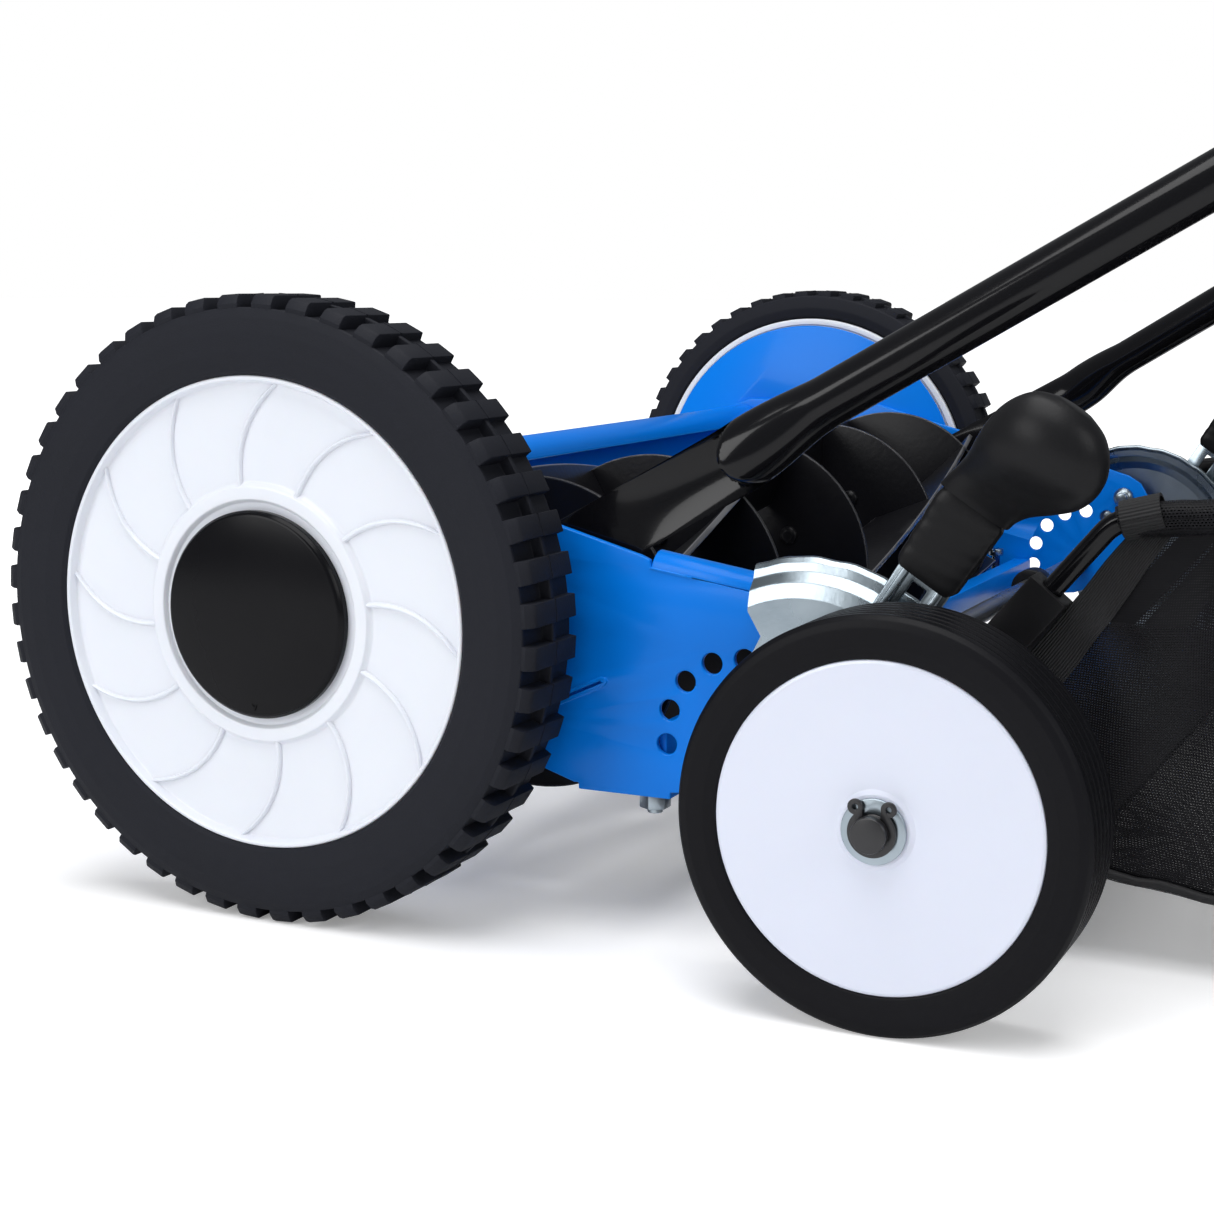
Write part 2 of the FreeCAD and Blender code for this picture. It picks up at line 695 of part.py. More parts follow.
# height adjusters: dish, lever strip, knob, axle
def dishSheet():
    x = dishOut
    r = dishRad
    dish = turnX([
        (x - dishThick, 0), (x, 0), (x, r - 12.5), (x - 0.9, r - 9.3), (x - 6.9, r - 3.5), (x - 6.9,
            r - 1.3),
        (x - 7.9, r), (x - 10.1, r), (x - 10.9, r - 0.9), (x - 10.9, r - 1.9), (x - 8.7, r - 2.5),
        (x - 8.7, r - 4.3), (x - 2.4, r - 10.3), (x - dishThick, r - 12.9)], dishY, dishZ)
    front = offsets([(-108, 113), (-21, 113), (-20.5, 43), (-15.5, 34.5), (-18, 29.5), (-25, 20.5), (-32, 10),
                     (-39, 0), (-40, -9), (-39, -17), (-33, -28), (-28, -40), (-28, -77), (-108, -77)],
                    dishY, dishZ)
    dish = dish.cut(slabX(front, x - 17, x + 14))
    holes = [(pivotY, pivotZ, rodRad + axleRun), (*holeSpot(0), pinRad + axleRun), (rearY, rearZ,
        axleRad + slip)]
    holes += [(y, z, screwRad + slip) for y, z in rivetSpots]
    for y, z, rad in holes:
        dish = dish.cut(cylX(x - 17, x + 14, rad, y, z))
    return dish


dish = dishSheet()
saveBoth("adjuster_dish", dish)

leverDir = V(0, math.cos(math.radians(leverAngle)), math.sin(math.radians(leverAngle)))
leverSide = V(0, -leverDir.z, leverDir.y)
leverMid = V(0, rearY + 1, rearZ + 76.5)


def leverPoints(spots):
    points = [leverMid + leverDir * along + leverSide * across for along, across in spots]
    return [(p.y, p.z) for p in points]


def leverStrip():
    half = leverWide / 2
    face = dishOut + leverThick
    strip = slabX(leverPoints([(-82, -half), (-82, half), (12, half + 1.5), (12, -half - 1.5)]), dishOut,
        face)
    strip = strip.cut(slabX(leverPoints([(-14, -3), (-14, 3), (-4, 3), (-4, -3)]), dishOut - 6, face + 4))
    parts = [strip]
    for side in (2 - half, half - 2):
        rib = leverPoints([(-40, side - 1.2), (-40, side + 1.2), (4, side + 1.2), (4, side - 1.2)])
        parts.append(slabX(rib, face, face + 1.2))
    for y, z in rivetSpots:
        parts.append(cylX(dishOut - dishThick - 1.5, face + 1.7, screwRad, y, z))
    return joined(parts)


# oval across the neck of the knob
def knobOval(along, across, wide, deep, x):
    mid = leverMid + leverDir * along + leverSide * across + V(x, 0, 0)
    ellipse = Part.Ellipse(mid + leverSide * wide, mid + V(deep, 0, 0), mid)
    return Part.Wire(ellipse.toShape())


def knobShape():
    low = dishOut - 2.9
    half = leverWide / 2 + 2.6
    sleeve = slabX(leverPoints([(0, -half), (0, half), (29, half + 1), (29, -half - 1)]), low,
        low + sleeveThick)
    sleeve = sleeve.makeFillet(1.6, sleeve.Edges)
    middle = low + sleeveThick / 2
    squash = FreeCAD.Matrix()
    squash.A11 = 0.62
    head = Part.makeSphere(knobRad, V(0, 0, 0)).transformGeometry(squash)
    head.translate(V(middle + 13.8, 0, 0) + leverMid + leverDir * 56.2 - leverSide * 11.2)
    neck = Part.makeLoft([
        knobOval(26, 0, half, sleeveThick / 2 - 0.2, middle + 0.2), knobOval(36, -4, half + 1, 7,
            middle + 4.8),
        knobOval(46, -8, half + 4.4, 10.6, middle + 10)], True, False)
    return sleeve.fuse(neck).fuse(head).removeSplitter()


lever = leverStrip()
saveBoth("adjuster_lever", lever)
saveBoth("adjuster_knob", knobShape().cut(lever))

axleEnd = rearOut + 7
clipIn = rearOut + 2
rearAxle = joined([
    cylX(dishOut - 5.1, axleEnd, axleRad, rearY, rearZ), cylX(dishOut - 5.1, dishOut - dishThick, 9,
        rearY, rearZ),
    ringX(dishOut, rearIn - 1, 8.5, axleRad, rearY, rearZ)])
rearAxle = rearAxle.cut(ringX(clipIn - 0.1, clipIn + 1.3, axleRad + 3, axleRad - 0.8, rearY,
    rearZ)).cut(dish)
saveBoth("rear_axle", max(rearAxle.Solids, key=lambda one: one.Volume))
washer = ringX(rearOut - 0.1, rearOut + 1.4, axleRad + 5, axleRad + 0.1, rearY, rearZ)
saveBoth("axle_washer", washer)


# spring clip with two ears, open at the top
def circlip():
    ring = ringX(clipIn, clipIn + 1.2, axleRad + 2.2, axleRad - 0.8, rearY, rearZ)
    mouth = offsets([(-2.4, 0), (2.4, 0), (3.6, 12), (-3.6, 12)], rearY, rearZ)
    ring = ring.cut(slabX(mouth, clipIn - 7, clipIn + 3))
    for s in (-1, 1):
        y = rearY + s * 5.6
        z = rearZ + axleRad + 2.2
        ear = ringX(clipIn, clipIn + 1.2, 2.6, 1.0, y, z)
        ring = ring.fuse(ear.cut(cylX(clipIn - 7, clipIn + 3, axleRad - 0.8, rearY, rearZ)))
    return ring.removeSplitter()


saveBoth("axle_circlip", circlip())
pinY, pinZ = holeSpot(0)
pin = joined([cylX(plateOut + 0.4, dishOut + 9.1, pinRad, pinY, pinZ), cylX(dishOut + 6.7, dishOut + 9.5,
    6, pinY, pinZ)])
saveBoth("detent_pin", pin)

# rear wheels
hubFace = rearOut - 1.4
rearHub = turnX([
    (rearIn + 0.6, axleRad + axleRun), (rearIn + 0.6, axleRad + 5), (hubFace - 3.1, axleRad + 6),
    (hubFace - 3.1, rearHubRad - 4), (rearIn + 2, rearHubRad - 3.5), (rearIn + 2, rearHubRad),
    (rearOut - 3.6, rearHubRad), (rearOut - 3.6, rearHubRad + 1.7), (hubFace, rearHubRad + 1.7),
    (rearOut - 1, rearHubRad + 0.6), (hubFace, axleRad + 7), (rearOut - 0.4, axleRad + 6),
    (rearOut - 0.4, axleRad + axleRun)], rearY, rearZ)
saveBoth("rear_hub", rearHub)
tread = [(rearIn, rearHubRad), (rearIn, rearRad - 4), (rearIn + 1.2, rearRad - 1.2), (rearIn + 3.4,
    rearRad)]
for x in [rearIn + 6.5 + i * (rearWide - 9) / grooveCount for i in range(grooveCount)]:
    tread += [(x, rearRad), (x + 0.5, rearRad - 1.2), (x + 1.3, rearRad - 1.2), (x + 1.8, rearRad)]
tread += [(rearOut - 2.6, rearRad), (rearOut - 0.6, rearRad - 1.4), (rearOut, rearRad - 3.5),
          (rearOut, rearHubRad + 4), (rearOut - 0.8, rearHubRad + 1.7), (rearOut - 3.6, rearHubRad + 1.7),
          (rearOut - 3.6, rearHubRad)]
saveBoth("rear_tyre", turnX(tread, rearY, rearZ))

# handle legs: crushed flat beside the plates, round above
flatDir = V(0, 1, flatSlope).normalize()
flatSide = V(0, -flatDir.z, flatDir.y)
legPivot = V(legX, legPivotY, legPivotZ)
legStart = legPivot + V(-8.7, 102, 60.8)
legUp = V(legLean, 1, legSlope).normalize()


# point on a leg's centre line, a forward run past the start of its round part
def legPoint(run):
    return legStart + V(legLean * run, run, legSlope * run)


def flatPoints(spots):
    points = [legPivot + flatDir * along + flatSide * across for along, across in spots]
    return [(p.y, p.z) for p in points]


# flattened tube section: two straight sides and two round ends
def legSection(centre, along, wide, deep):
    thick = flatSide.cross(along).normalize()
    a = centre + flatSide * (wide - deep)
    b = centre - flatSide * (wide - deep)
    edges = [
        Part.LineSegment(b + thick * deep, a + thick * deep).toShape(),
        Part.Arc(a + thick * deep, a + flatSide * deep, a - thick * deep).toShape(),
        Part.LineSegment(a - thick * deep, b - thick * deep).toShape(),
        Part.Arc(b - thick * deep, b - flatSide * deep, b + thick * deep).toShape()]
    return Part.Wire(edges)


def handleLeg():
    half = legFlat / 2
    thin = legThick / 2
    flat = slabX(flatPoints([(0, -half), (0, half), (91, half), (91, -half)]), legX - thin, legX + thin)
    flat = flat.fuse(cylX(legX - thin, legX + thin, half, legPivotY, legPivotZ))
    dent = half - 5.7
    flat = flat.cut(slabX(flatPoints([(14, -dent), (14, dent), (80, dent), (80, -dent)]),
        legX + thin - 1.2, legX + thin + 2))
    flat = flat.cut(cylX(legX - 60, legX + 40, legBoltRad + axleRun, legPivotY, legPivotZ))
    swell = Part.makeLoft([
        legSection(legPivot + flatDir * 85, flatDir, half - 0.4, thin - 0.3),
        legSection(legPivot + V(-3.6, 86.5, 50), V(-0.14, 1, 0.6).normalize(), (half + legRad) / 2,
            legRad - 3.3),
        legSection(legPoint(4), legUp, legRad - 0.3, legRad - 0.5)], True, True)
    stem = Part.makeCylinder(legRad, (legPoint(legRun) - legPoint(-1)).Length, legPoint(-1), legUp)
    bore = Part.makeCylinder(legRad - legWall, (legPoint(legRun) - legPoint(0)).Length, legPoint(14), legUp)
    leg = flat.fuse(swell).fuse(stem).cut(bore)
    at = legPoint(knobRun)
    return leg.cut(cylX(at.x - 30, at.x + 30, boltRad + slip, at.y, at.z)).removeSplitter()


saveBoth("handle_leg", handleLeg())

# upper handle slides over the legs; foam grip on its cross bar
upperRad = legRad + 1.5
elbow = legPoint(390)
gripY = elbow.y + handleRun
gripZ = elbow.z + handleRise
knobAt = legPoint(knobRun)


def upperPath():
    path = [legPoint(legRun - joinRun), elbow, V(elbow.x, gripY, gripZ)]
    for p in path[::-1]:
        path.append(V(-p.x, p.y, p.z))
    return path


upper = tube(upperPath(), upperRad, legRad + axleRun, handleBend)
for x in (-knobAt.x, knobAt.x):
    upper = upper.cut(cylX(x - 30, x + 30, boltRad + slip, knobAt.y, knobAt.z))
save("upper_handle", upper)
foamHalf = elbow.x - handleBend - 3.7
save("foam_grip", ringX(-foamHalf, foamHalf, upperRad + foamThick, upperRad, gripY, gripZ))

braceAt = legPoint(braceRun)
brace = cylX(-braceAt.x, braceAt.x, braceRad, braceAt.y, braceAt.z)
legSolid = Part.makeCylinder(legRad + slip, 80, legPoint(braceRun - 30), legUp)
brace = brace.cut(legSolid).cut(mirrored(legSolid))
save("handle_brace", max(brace.Solids, key=lambda one: one.Volume))


def handleKnob():
    x, y, z = knobAt
    near = upperRad + 0.6
    body = turnX([
        (x - near - 3.4, 0), (x - near - 3.4, 5), (x - near, 5), (x - near, boltRad), (x + near, boltRad),
        (x + near, 9), (x + near + 2.4, 14), (x + near + 14.4, 16), (x + near + 16.4, 13),
            (x + near + 16.4, 0)], y, z)
    around = Part.makeCylinder(upperRad, 160, legPoint(knobRun - 62), legUp)
    return body.cut(around).fuse(cylX(x - near - 0.4, x + near + 0.4, boltRad, y, z)).removeSplitter()


saveGroup("handle_knobs", handleKnob())

# grass catcher: wire frame, plastic tray with hooks, fabric bag
wireLow = V(wireX, wireLowY, wireLowZ)
wireTop = wireLow + V(0, wireRun, wireRise)
wireRear = wireTop + V(-wireTaper, bagLong, 26.5)
frontDir = (wireTop - wireLow).normalize()
frontOut = V(0, frontDir.z, -frontDir.y)
wirePath = [wireLow, wireTop, wireRear]
for p in wirePath[::-1]:
    wirePath.append(V(-p.x, p.y, p.z))
save("catcher_frame", swept(wirePath, wireRad, 16))


def alongWire(spots):
    points = [wireLow + frontDir * along + frontOut * across for along, across in spots]
    return [(p.y, p.z) for p in points]


def catcherTray():
    floorLow = wireLowZ - 6
    floorTop = floorLow + trayThick
    half = wireX - railWide / 2
    rail = slabX(alongWire([(-6, -railHalf), (-6, railHalf), (112, railHalf), (112, -railHalf)]),
                 wireX - railWide / 2, wireX + railWide / 2)
    rail = rail.cut(Part.makeCylinder(wireRad + slip, 150, wireLow, frontDir))
    floor = boxAt(-half, half, wireLowY - 14, wireLowY + 88, floorLow, floorTop)
    lip = slabX(offsets([(-14, -6), (-11, -6), (-20, 12), (-23, 12)], wireLowY, wireLowZ), -half, half)
    parts = [floor, lip, rail, mirrored(rail)]
    hookRad = rodRad + hookRun
    for x in (-hookX, hookX):
        x0 = x - hookWide / 2
        x1 = x + hookWide / 2
        hook = ringX(x0, x1, rodRad + 5, hookRad, pivotY, pivotZ)
        hook = hook.cut(boxAt(x0 - 3, x1 + 3, pivotY - 20, pivotY, pivotZ - 20, pivotZ))
        arm = slabX(offsets([(3, -8.1), (8.5, -4.1), (15, -18), (10, -20)], pivotY, pivotZ), x0, x1)
        parts += [hook, arm.cut(cylX(x0 - 3, x1 + 3, hookRad, pivotY, pivotZ))]
    return joined(parts)


def catcherBag():
    y = wireLowY
    z = wireLowZ
    rear = wireRear.y - 2
    front = alongWire([(-6, railHalf + 1), (112, railHalf + 1)])
    hem = offsets([(-3, -14.5), (6, -4.1)], wireTop.y, wireTop.z)
    line = front + hem + [(rear, wireRear.z - 4.8), (rear - 6, z + 18), (rear - 38, z - 6), (rear - 118,
        z - 16),
                          (y + 132, z - 22), (y + 88, z - 16), (y + 13, z - 12)]
    inner = [(y - 22, z - 10.6), (y + 13, z - 10.5), (y + 88, z - 14.5), (y + 132, z - 20.5),
        (rear - 118, z - 14.5),
             (rear - 38.6, z - 4.6), (rear - 7.6, z + 18.5), (rear - 1.6, z + 148), (y - 22, z + 148)]
    return slabX(line, -bagHalf, bagHalf).cut(slabX(inner, bagSkin - bagHalf, bagHalf - bagSkin))


save("catcher_tray", catcherTray())
save("catcher_bag", catcherBag())
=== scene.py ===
import bpy
import bmesh
import json
import math
from mathutils import Vector, Matrix
from mathutils.bvhtree import BVHTree


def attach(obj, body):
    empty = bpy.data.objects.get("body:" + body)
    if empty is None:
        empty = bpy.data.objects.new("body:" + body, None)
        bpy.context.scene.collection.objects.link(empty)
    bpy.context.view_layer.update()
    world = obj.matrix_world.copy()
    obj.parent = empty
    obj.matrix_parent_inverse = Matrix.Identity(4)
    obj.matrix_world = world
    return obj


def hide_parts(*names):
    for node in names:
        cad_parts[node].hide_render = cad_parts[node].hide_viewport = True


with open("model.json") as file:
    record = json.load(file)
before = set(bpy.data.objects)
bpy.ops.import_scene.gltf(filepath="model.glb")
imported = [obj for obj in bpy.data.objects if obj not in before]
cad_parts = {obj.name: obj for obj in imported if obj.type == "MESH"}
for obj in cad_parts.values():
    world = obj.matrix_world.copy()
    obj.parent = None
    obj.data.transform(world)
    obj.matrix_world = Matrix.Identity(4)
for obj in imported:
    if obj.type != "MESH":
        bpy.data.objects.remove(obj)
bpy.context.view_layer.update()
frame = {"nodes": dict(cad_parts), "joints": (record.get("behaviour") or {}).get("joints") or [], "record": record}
print("frame loaded:", len(frame["nodes"]), "nodes")

mm = 0.001
nodes = frame["nodes"]
jointAt = {j["name"]: Vector(j["pos_m"]) for j in frame["joints"] if "pos_m" in j}
frontAxis = jointAt["front_wheel_left_spin"] * Vector((0, 1, 1))
rearAxis = jointAt["rear_wheel_left_spin"] * Vector((0, 1, 1))
reelAxis = jointAt["reel_spin"] * Vector((0, 1, 1))
handleAxis = jointAt["handle_fold"] * Vector((0, 1, 1))


def newPiece(name, verts, faces):
    mesh = bpy.data.meshes.new(name)
    mesh.from_pydata([tuple(v) for v in verts], [], faces)
    piece = bpy.data.objects.new(name, mesh)
    bpy.context.scene.collection.objects.link(piece)
    return piece


def cleaned(piece):
    # points that meet are welded and every face looks outwards
    bm = bmesh.new()
    bm.from_mesh(piece.data)
    bmesh.ops.remove_doubles(bm, verts=bm.verts, dist=1e-5)
    bmesh.ops.recalc_face_normals(bm, faces=bm.faces)
    bm.to_mesh(piece.data)
    bm.free()
    return piece


def applied(piece):
    # the evaluated shape becomes the piece's plain mesh
    bpy.context.view_layer.update()
    graph = bpy.context.evaluated_depsgraph_get()
    mesh = bpy.data.meshes.new_from_object(piece.evaluated_get(graph))
    piece.modifiers.clear()
    piece.data = mesh
    return piece


def beveled(piece, width, segments=2, angle=30):
    mod = piece.modifiers.new("edges", "BEVEL")
    mod.width = width
    mod.segments = segments
    mod.limit_method = "ANGLE"
    mod.angle_limit = math.radians(angle)
    mod.use_clamp_overlap = False
    return applied(piece)


def placed(piece, body, slot, stands=(), smooth=40):
    piece.data.materials.clear()
    piece.data.materials.append(finish[slot])
    piece.data.shade_smooth()
    piece.data.set_sharp_from_angle(angle=math.radians(smooth))
    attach(piece, body)
    if stands:
        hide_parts(*stands)
    return piece


def mirroredCopy(piece, name):
    other = bpy.data.objects.new(name, piece.data.copy())
    bpy.context.scene.collection.objects.link(other)
    other.data.transform(Matrix.Scale(-1, 4, (1, 0, 0)))
    other.data.flip_normals()
    return other


def bothSides(make, stem, body, slot, node=None, smooth=40):
    # the left piece is made, the right one is its mirror image
    left = make(stem + "Left")
    right = mirroredCopy(left, stem + "Right")
    for piece, side in ((left, "left"), (right, "right")):
        stands = [node + "_" + side] if node else []
        placed(piece, body + "_" + side, slot, stands, smooth)
    return left, right


def filleted(corners, steps=4):
    # closed outline from (x, r, rounding) corners in millimetres
    out = []
    count = len(corners)
    for i in range(count):
        here = Vector(corners[i][:2])
        toLast = Vector(corners[i - 1][:2]) - here
        toNext = Vector(corners[(i + 1) % count][:2]) - here
        rad = corners[i][2] if len(corners[i]) > 2 else 0
        lengths = (toLast.length, toNext.length)
        toLast.normalize()
        toNext.normalize()
        half = math.acos(max(-1, min(1, toLast.dot(toNext)))) / 2
        if rad <= 0 or half > 1.5:
            out.append(here)
            continue
        back = min(rad / math.tan(half), 0.48 * lengths[0], 0.48 * lengths[1])
        rad = back * math.tan(half)
        centre = here + (toLast + toNext).normalized() * (rad / math.sin(half))
        first = here + toLast * back - centre
        last = here + toNext * back - centre
        for k in range(steps + 1):
            t = k / steps
            out.append(centre + (first * (1 - t) + last * t).normalized() * rad)
    return out


def turned(name, corners, axis, segments=96, steps=4, lobes=None):
    # outline of (x, r) in millimetres turned about the X line through axis
    line = filleted(corners, steps)
    verts = []
    for k in range(segments):
        a = 2 * math.pi * k / segments
        swell = 1 + lobes[1] * math.cos(lobes[0] * a) if lobes else 1
        for p in line:
            rad = p.y * (swell if lobes and p.y > lobes[2] else 1)
            verts.append((p.x * mm, axis.y + rad * mm * math.cos(a), axis.z + rad * mm * math.sin(a)))
    faces = []
    n = len(line)
    for k in range(segments):
        for i in range(n):
            a, b = k * n + i, k * n + (i + 1) % n
            c, d = ((k + 1) % segments) * n + (i + 1) % n, ((k + 1) % segments) * n + i
            faces.append((a, b, c, d))
    return cleaned(newPiece(name, verts, faces))


def around(count, n):
    # quads between rings, for a number of closed rings of n points
    faces = []
    for i in range(count - 1):
        for k in range(n):
            a, b = i * n + k, i * n + (k + 1) % n
            faces.append((a, b, b + n, a + n))
    return faces


def circle(centre, side, up, rad, sides, count=None):
    points = []
    for k in range(count or sides):
        a = 2 * math.pi * k / sides
        points.append(centre + side * (rad * math.cos(a)) + up * (rad * math.sin(a)))
    return points


def bulged(value, power):
    # a sine or cosine that draws a rounded box where power is below 1
    return math.copysign(abs(value) ** power, value)


def slab(name, outline, x0, x1):
    # flat outline of (y, z) in millimetres pushed out along X
    n = len(outline)
    verts = [(x * mm, y * mm, z * mm) for x in (x0, x1) for y, z in outline]
    faces = [tuple(range(n)), tuple(range(2 * n - 1, n - 1, -1))]
    for i in range(n):
        faces.append((i, (i + 1) % n, n + (i + 1) % n, n + i))
    return cleaned(newPiece(name, verts, faces))


def roundedPath(points, bend, step=6):
    # points joined by straight runs with round bends, in millimetres
    out = [points[0]]
    for i in range(1, len(points) - 1):
        back = (points[i - 1] - points[i]).normalized()
        on = (points[i + 1] - points[i]).normalized()
        half = math.acos(max(-1, min(1, back.dot(on)))) / 2
        run = bend / math.tan(half)
        centre = points[i] + (back + on).normalized() * (bend / math.sin(half))
        first = points[i] + back * run - centre
        last = points[i] + on * run - centre
        turns = max(4, int((math.pi - 2 * half) * bend / step) + 4)
        for k in range(turns + 1):
            t = k / turns
            out.append(centre + (first * (1 - t) + last * t).normalized() * bend)
    out.append(points[-1])
    return out


def swept(name, path, section):
    # section(i, side, up) gives one ring of points round path[i]
    rings = []
    up = Vector((0, 0, 1))
    lastSide = Vector((1, 0, 0))
    for i in range(len(path)):
        ahead = (path[min(i + 1, len(path) - 1)] - path[max(i - 1, 0)]).normalized()
        side = ahead.cross(up)
        if side.length < 0.2:
            side = lastSide
        side = (side - ahead * side.dot(ahead)).normalized()
        up = side.cross(ahead).normalized()
        lastSide = side
        rings.append([p * mm for p in section(i, side, up)])
    n = len(rings[0])
    verts = [p for ring in rings for p in ring]
    faces = around(len(rings), n)
    faces += [tuple(range(n - 1, -1, -1)), tuple(range(len(verts) - n, len(verts)))]
    return cleaned(newPiece(name, verts, faces))


def tubeSection(path, rad, sides=24):
    # rad is a number or a function of the place along the path
    def ring(i, side, up):
        return circle(path[i], side, up, rad(i) if callable(rad) else rad, sides)
    return ring


def softened(node, name, width, segments=2):
    # a copy of the node with its triangles merged and its edges rounded
    piece = bpy.data.objects.new(name, nodes[node].data.copy())
    bpy.context.scene.collection.objects.link(piece)
    bm = bmesh.new()
    bm.from_mesh(piece.data)
    bmesh.ops.remove_doubles(bm, verts=bm.verts, dist=2e-6)
    bmesh.ops.dissolve_limit(bm, angle_limit=math.radians(1.0), verts=bm.verts, edges=bm.edges)
    bm.to_mesh(piece.data)
    bm.free()
    beveled(piece, width, segments)
    # a corner that the bevel threw outwards goes back to the surface
    surfaceTree = BVHTree.FromPolygons([v.co for v in nodes[node].data.vertices],
                                       [tuple(f.vertices) for f in nodes[node].data.polygons])
    for v in piece.data.vertices:
        spot, _, _, away = surfaceTree.find_nearest(v.co)
        if away > 1.2 * width:
            v.co = spot
    return piece


def feed(tree, node, inputs):
    # each input is a plain value or the socket that it is linked from
    for label, value in inputs.items():
        if isinstance(value, bpy.types.NodeSocket):
            tree.links.new(value, node.inputs[label])
        else:
            node.inputs[label].default_value = value
    return node


def nodeMaker(tree):
    def make(kind, inputs=None, **settings):
        node = tree.nodes.new(kind)
        for label, value in settings.items():
            setattr(node, label, value)
        return feed(tree, node, inputs or {})
    return make


def calc(make, kind, *values):
    return make("ShaderNodeMath", dict(enumerate(values)), operation=kind).outputs[0]


def newTree(name, inputs):
    tree = bpy.data.node_groups.new(name, "GeometryNodeTree")
    tree.interface.new_socket("Geometry", in_out="INPUT", socket_type="NodeSocketGeometry")
    for label, kind, value in inputs:
        socket = tree.interface.new_socket(label, in_out="INPUT", socket_type="NodeSocket" + kind)
        if value is not None:
            socket.default_value = value
    tree.interface.new_socket("Geometry", in_out="OUTPUT", socket_type="NodeSocketGeometry")
    make = nodeMaker(tree)
    return tree, make, make("NodeGroupInput").outputs


def endTree(tree, make, given, shape):
    # real geometry in the given material comes out
    real = make("GeometryNodeRealizeInstances", {0: shape})
    paint = make("GeometryNodeSetMaterial", {"Geometry": real.outputs[0], "Material": given["Material"]})
    make("NodeGroupOutput", {0: paint.outputs[0]})
    return tree


def spreadTree():
    # copies of a seed piece, each turned about X and shifted on from the last
    tree, make, given = newTree("spread", [
        ("Seed", "Object", None), ("Count", "Int", 5), ("First Turn", "Float", 0.0), ("Turn", "Float", 0.0),
        ("Start", "Vector", (0, 0, 0)), ("Shift", "Vector", (0, 0, 0)), ("Material", "Material", None)])
    index = make("GeometryNodeInputIndex").outputs[0]
    angle = calc(make, "MULTIPLY_ADD", index, given["Turn"], given["First Turn"])
    turn = make("ShaderNodeCombineXYZ", {"X": angle})
    spin = make("FunctionNodeEulerToRotation", {0: turn.outputs[0]})
    away = make("ShaderNodeVectorMath", {0: given["Shift"], "Scale": index}, operation="SCALE")
    place = make("ShaderNodeVectorMath", {0: given["Start"], 1: away.outputs[0]})
    points = make("GeometryNodePoints", {"Count": given["Count"], "Position": place.outputs[0]})
    seed = make("GeometryNodeObjectInfo", {"Object": given["Seed"]})
    copies = make("GeometryNodeInstanceOnPoints", {
        "Points": points.outputs[0], "Instance": seed.outputs["Geometry"], "Rotation": spin.outputs[0]})
    both = make("GeometryNodeJoinGeometry", {0: given["Geometry"]})
    feed(tree, both, {0: copies.outputs[0]})
    return endTree(tree, make, given, both.outputs[0])


def bladeTree():
    # a strip that winds round the X axis
    tree, make, given = newTree("windingStrip", [
        ("Length", "Float", 0.5), ("Inner", "Float", 0.03), ("Outer", "Float", 0.06), ("First", "Float", 0.0),
        ("Twist", "Float", -3.5), ("Steps", "Int", 60), ("Material", "Material", None)])
    deep = calc(make, "SUBTRACT", given["Outer"], given["Inner"])
    middle = calc(make, "MULTIPLY", calc(make, "ADD", given["Outer"], given["Inner"]), 0.5)
    grid = make("GeometryNodeMeshGrid", {
        "Size X": given["Length"], "Size Y": deep, "Vertices X": given["Steps"], "Vertices Y": 6})
    where = make("ShaderNodeSeparateXYZ", {0: make("GeometryNodeInputPosition").outputs[0]}).outputs
    angle = calc(make, "ADD", calc(make, "MULTIPLY", where["X"], given["Twist"]), given["First"])
    rad = calc(make, "ADD", where["Y"], middle)
    spot = make("ShaderNodeCombineXYZ", {
        "X": where["X"], "Y": calc(make, "MULTIPLY", rad, calc(make, "COSINE", angle)),
        "Z": calc(make, "MULTIPLY", rad, calc(make, "SINE", angle))})
    bent = make("GeometryNodeSetPosition", {"Geometry": grid.outputs["Mesh"], "Position": spot.outputs[0]})
    return endTree(tree, make, given, bent.outputs[0])


def runTree(piece, tree, values):
    mod = piece.modifiers.new(tree.name, "NODES")
    mod.node_group = tree
    for item in tree.interface.items_tree:
        if item.in_out == "INPUT" and item.name in values:
            mod[item.identifier] = values[item.name]
    return applied(piece)


def spread(name, seed, count, slot, turn=0.0, firstTurn=0.0, start=(0, 0, 0), shift=(0, 0, 0), base=None):
    piece = base or newPiece(name, [], [])
    runTree(piece, trees["spread"], {
        "Seed": seed, "Count": count, "First Turn": firstTurn, "Turn": turn, "Start": tuple(start),
        "Shift": tuple(shift), "Material": finish[slot]})
    bpy.data.objects.remove(seed)
    return piece


def ringOf(name, seed, count, slot, axis, firstTurn=0.0, base=None):
    return spread(name, seed, count, slot, 2 * math.pi / count, firstTurn, (0, axis.y, axis.z), base=base)


trees = {"spread": spreadTree(), "blade": bladeTree()}
print("trees built")


def shaderGroup(name, inputs, outputs):
    group = bpy.data.node_groups.new(name, "ShaderNodeTree")
    for label, kind, value in inputs:
        socket = group.interface.new_socket(label, in_out="INPUT", socket_type="NodeSocket" + kind)
        socket.default_value = value
    for label, kind in outputs:
        group.interface.new_socket(label, in_out="OUTPUT", socket_type="NodeSocket" + kind)
    make = nodeMaker(group)
    return group, make, make("NodeGroupInput").outputs


def noise(make, scale, detail=4.0):
    where = make("ShaderNodeTexCoord").outputs["Object"]
    return make("ShaderNodeTexNoise", {
        "Vector": where, "Scale": scale, "Detail": detail, "Roughness": 0.6}).outputs["Fac"]


def blend(make, mask, a, b):
    return make("ShaderNodeMix", {"Factor": mask, "A": a, "B": b}, data_type="RGBA").outputs["Result"]


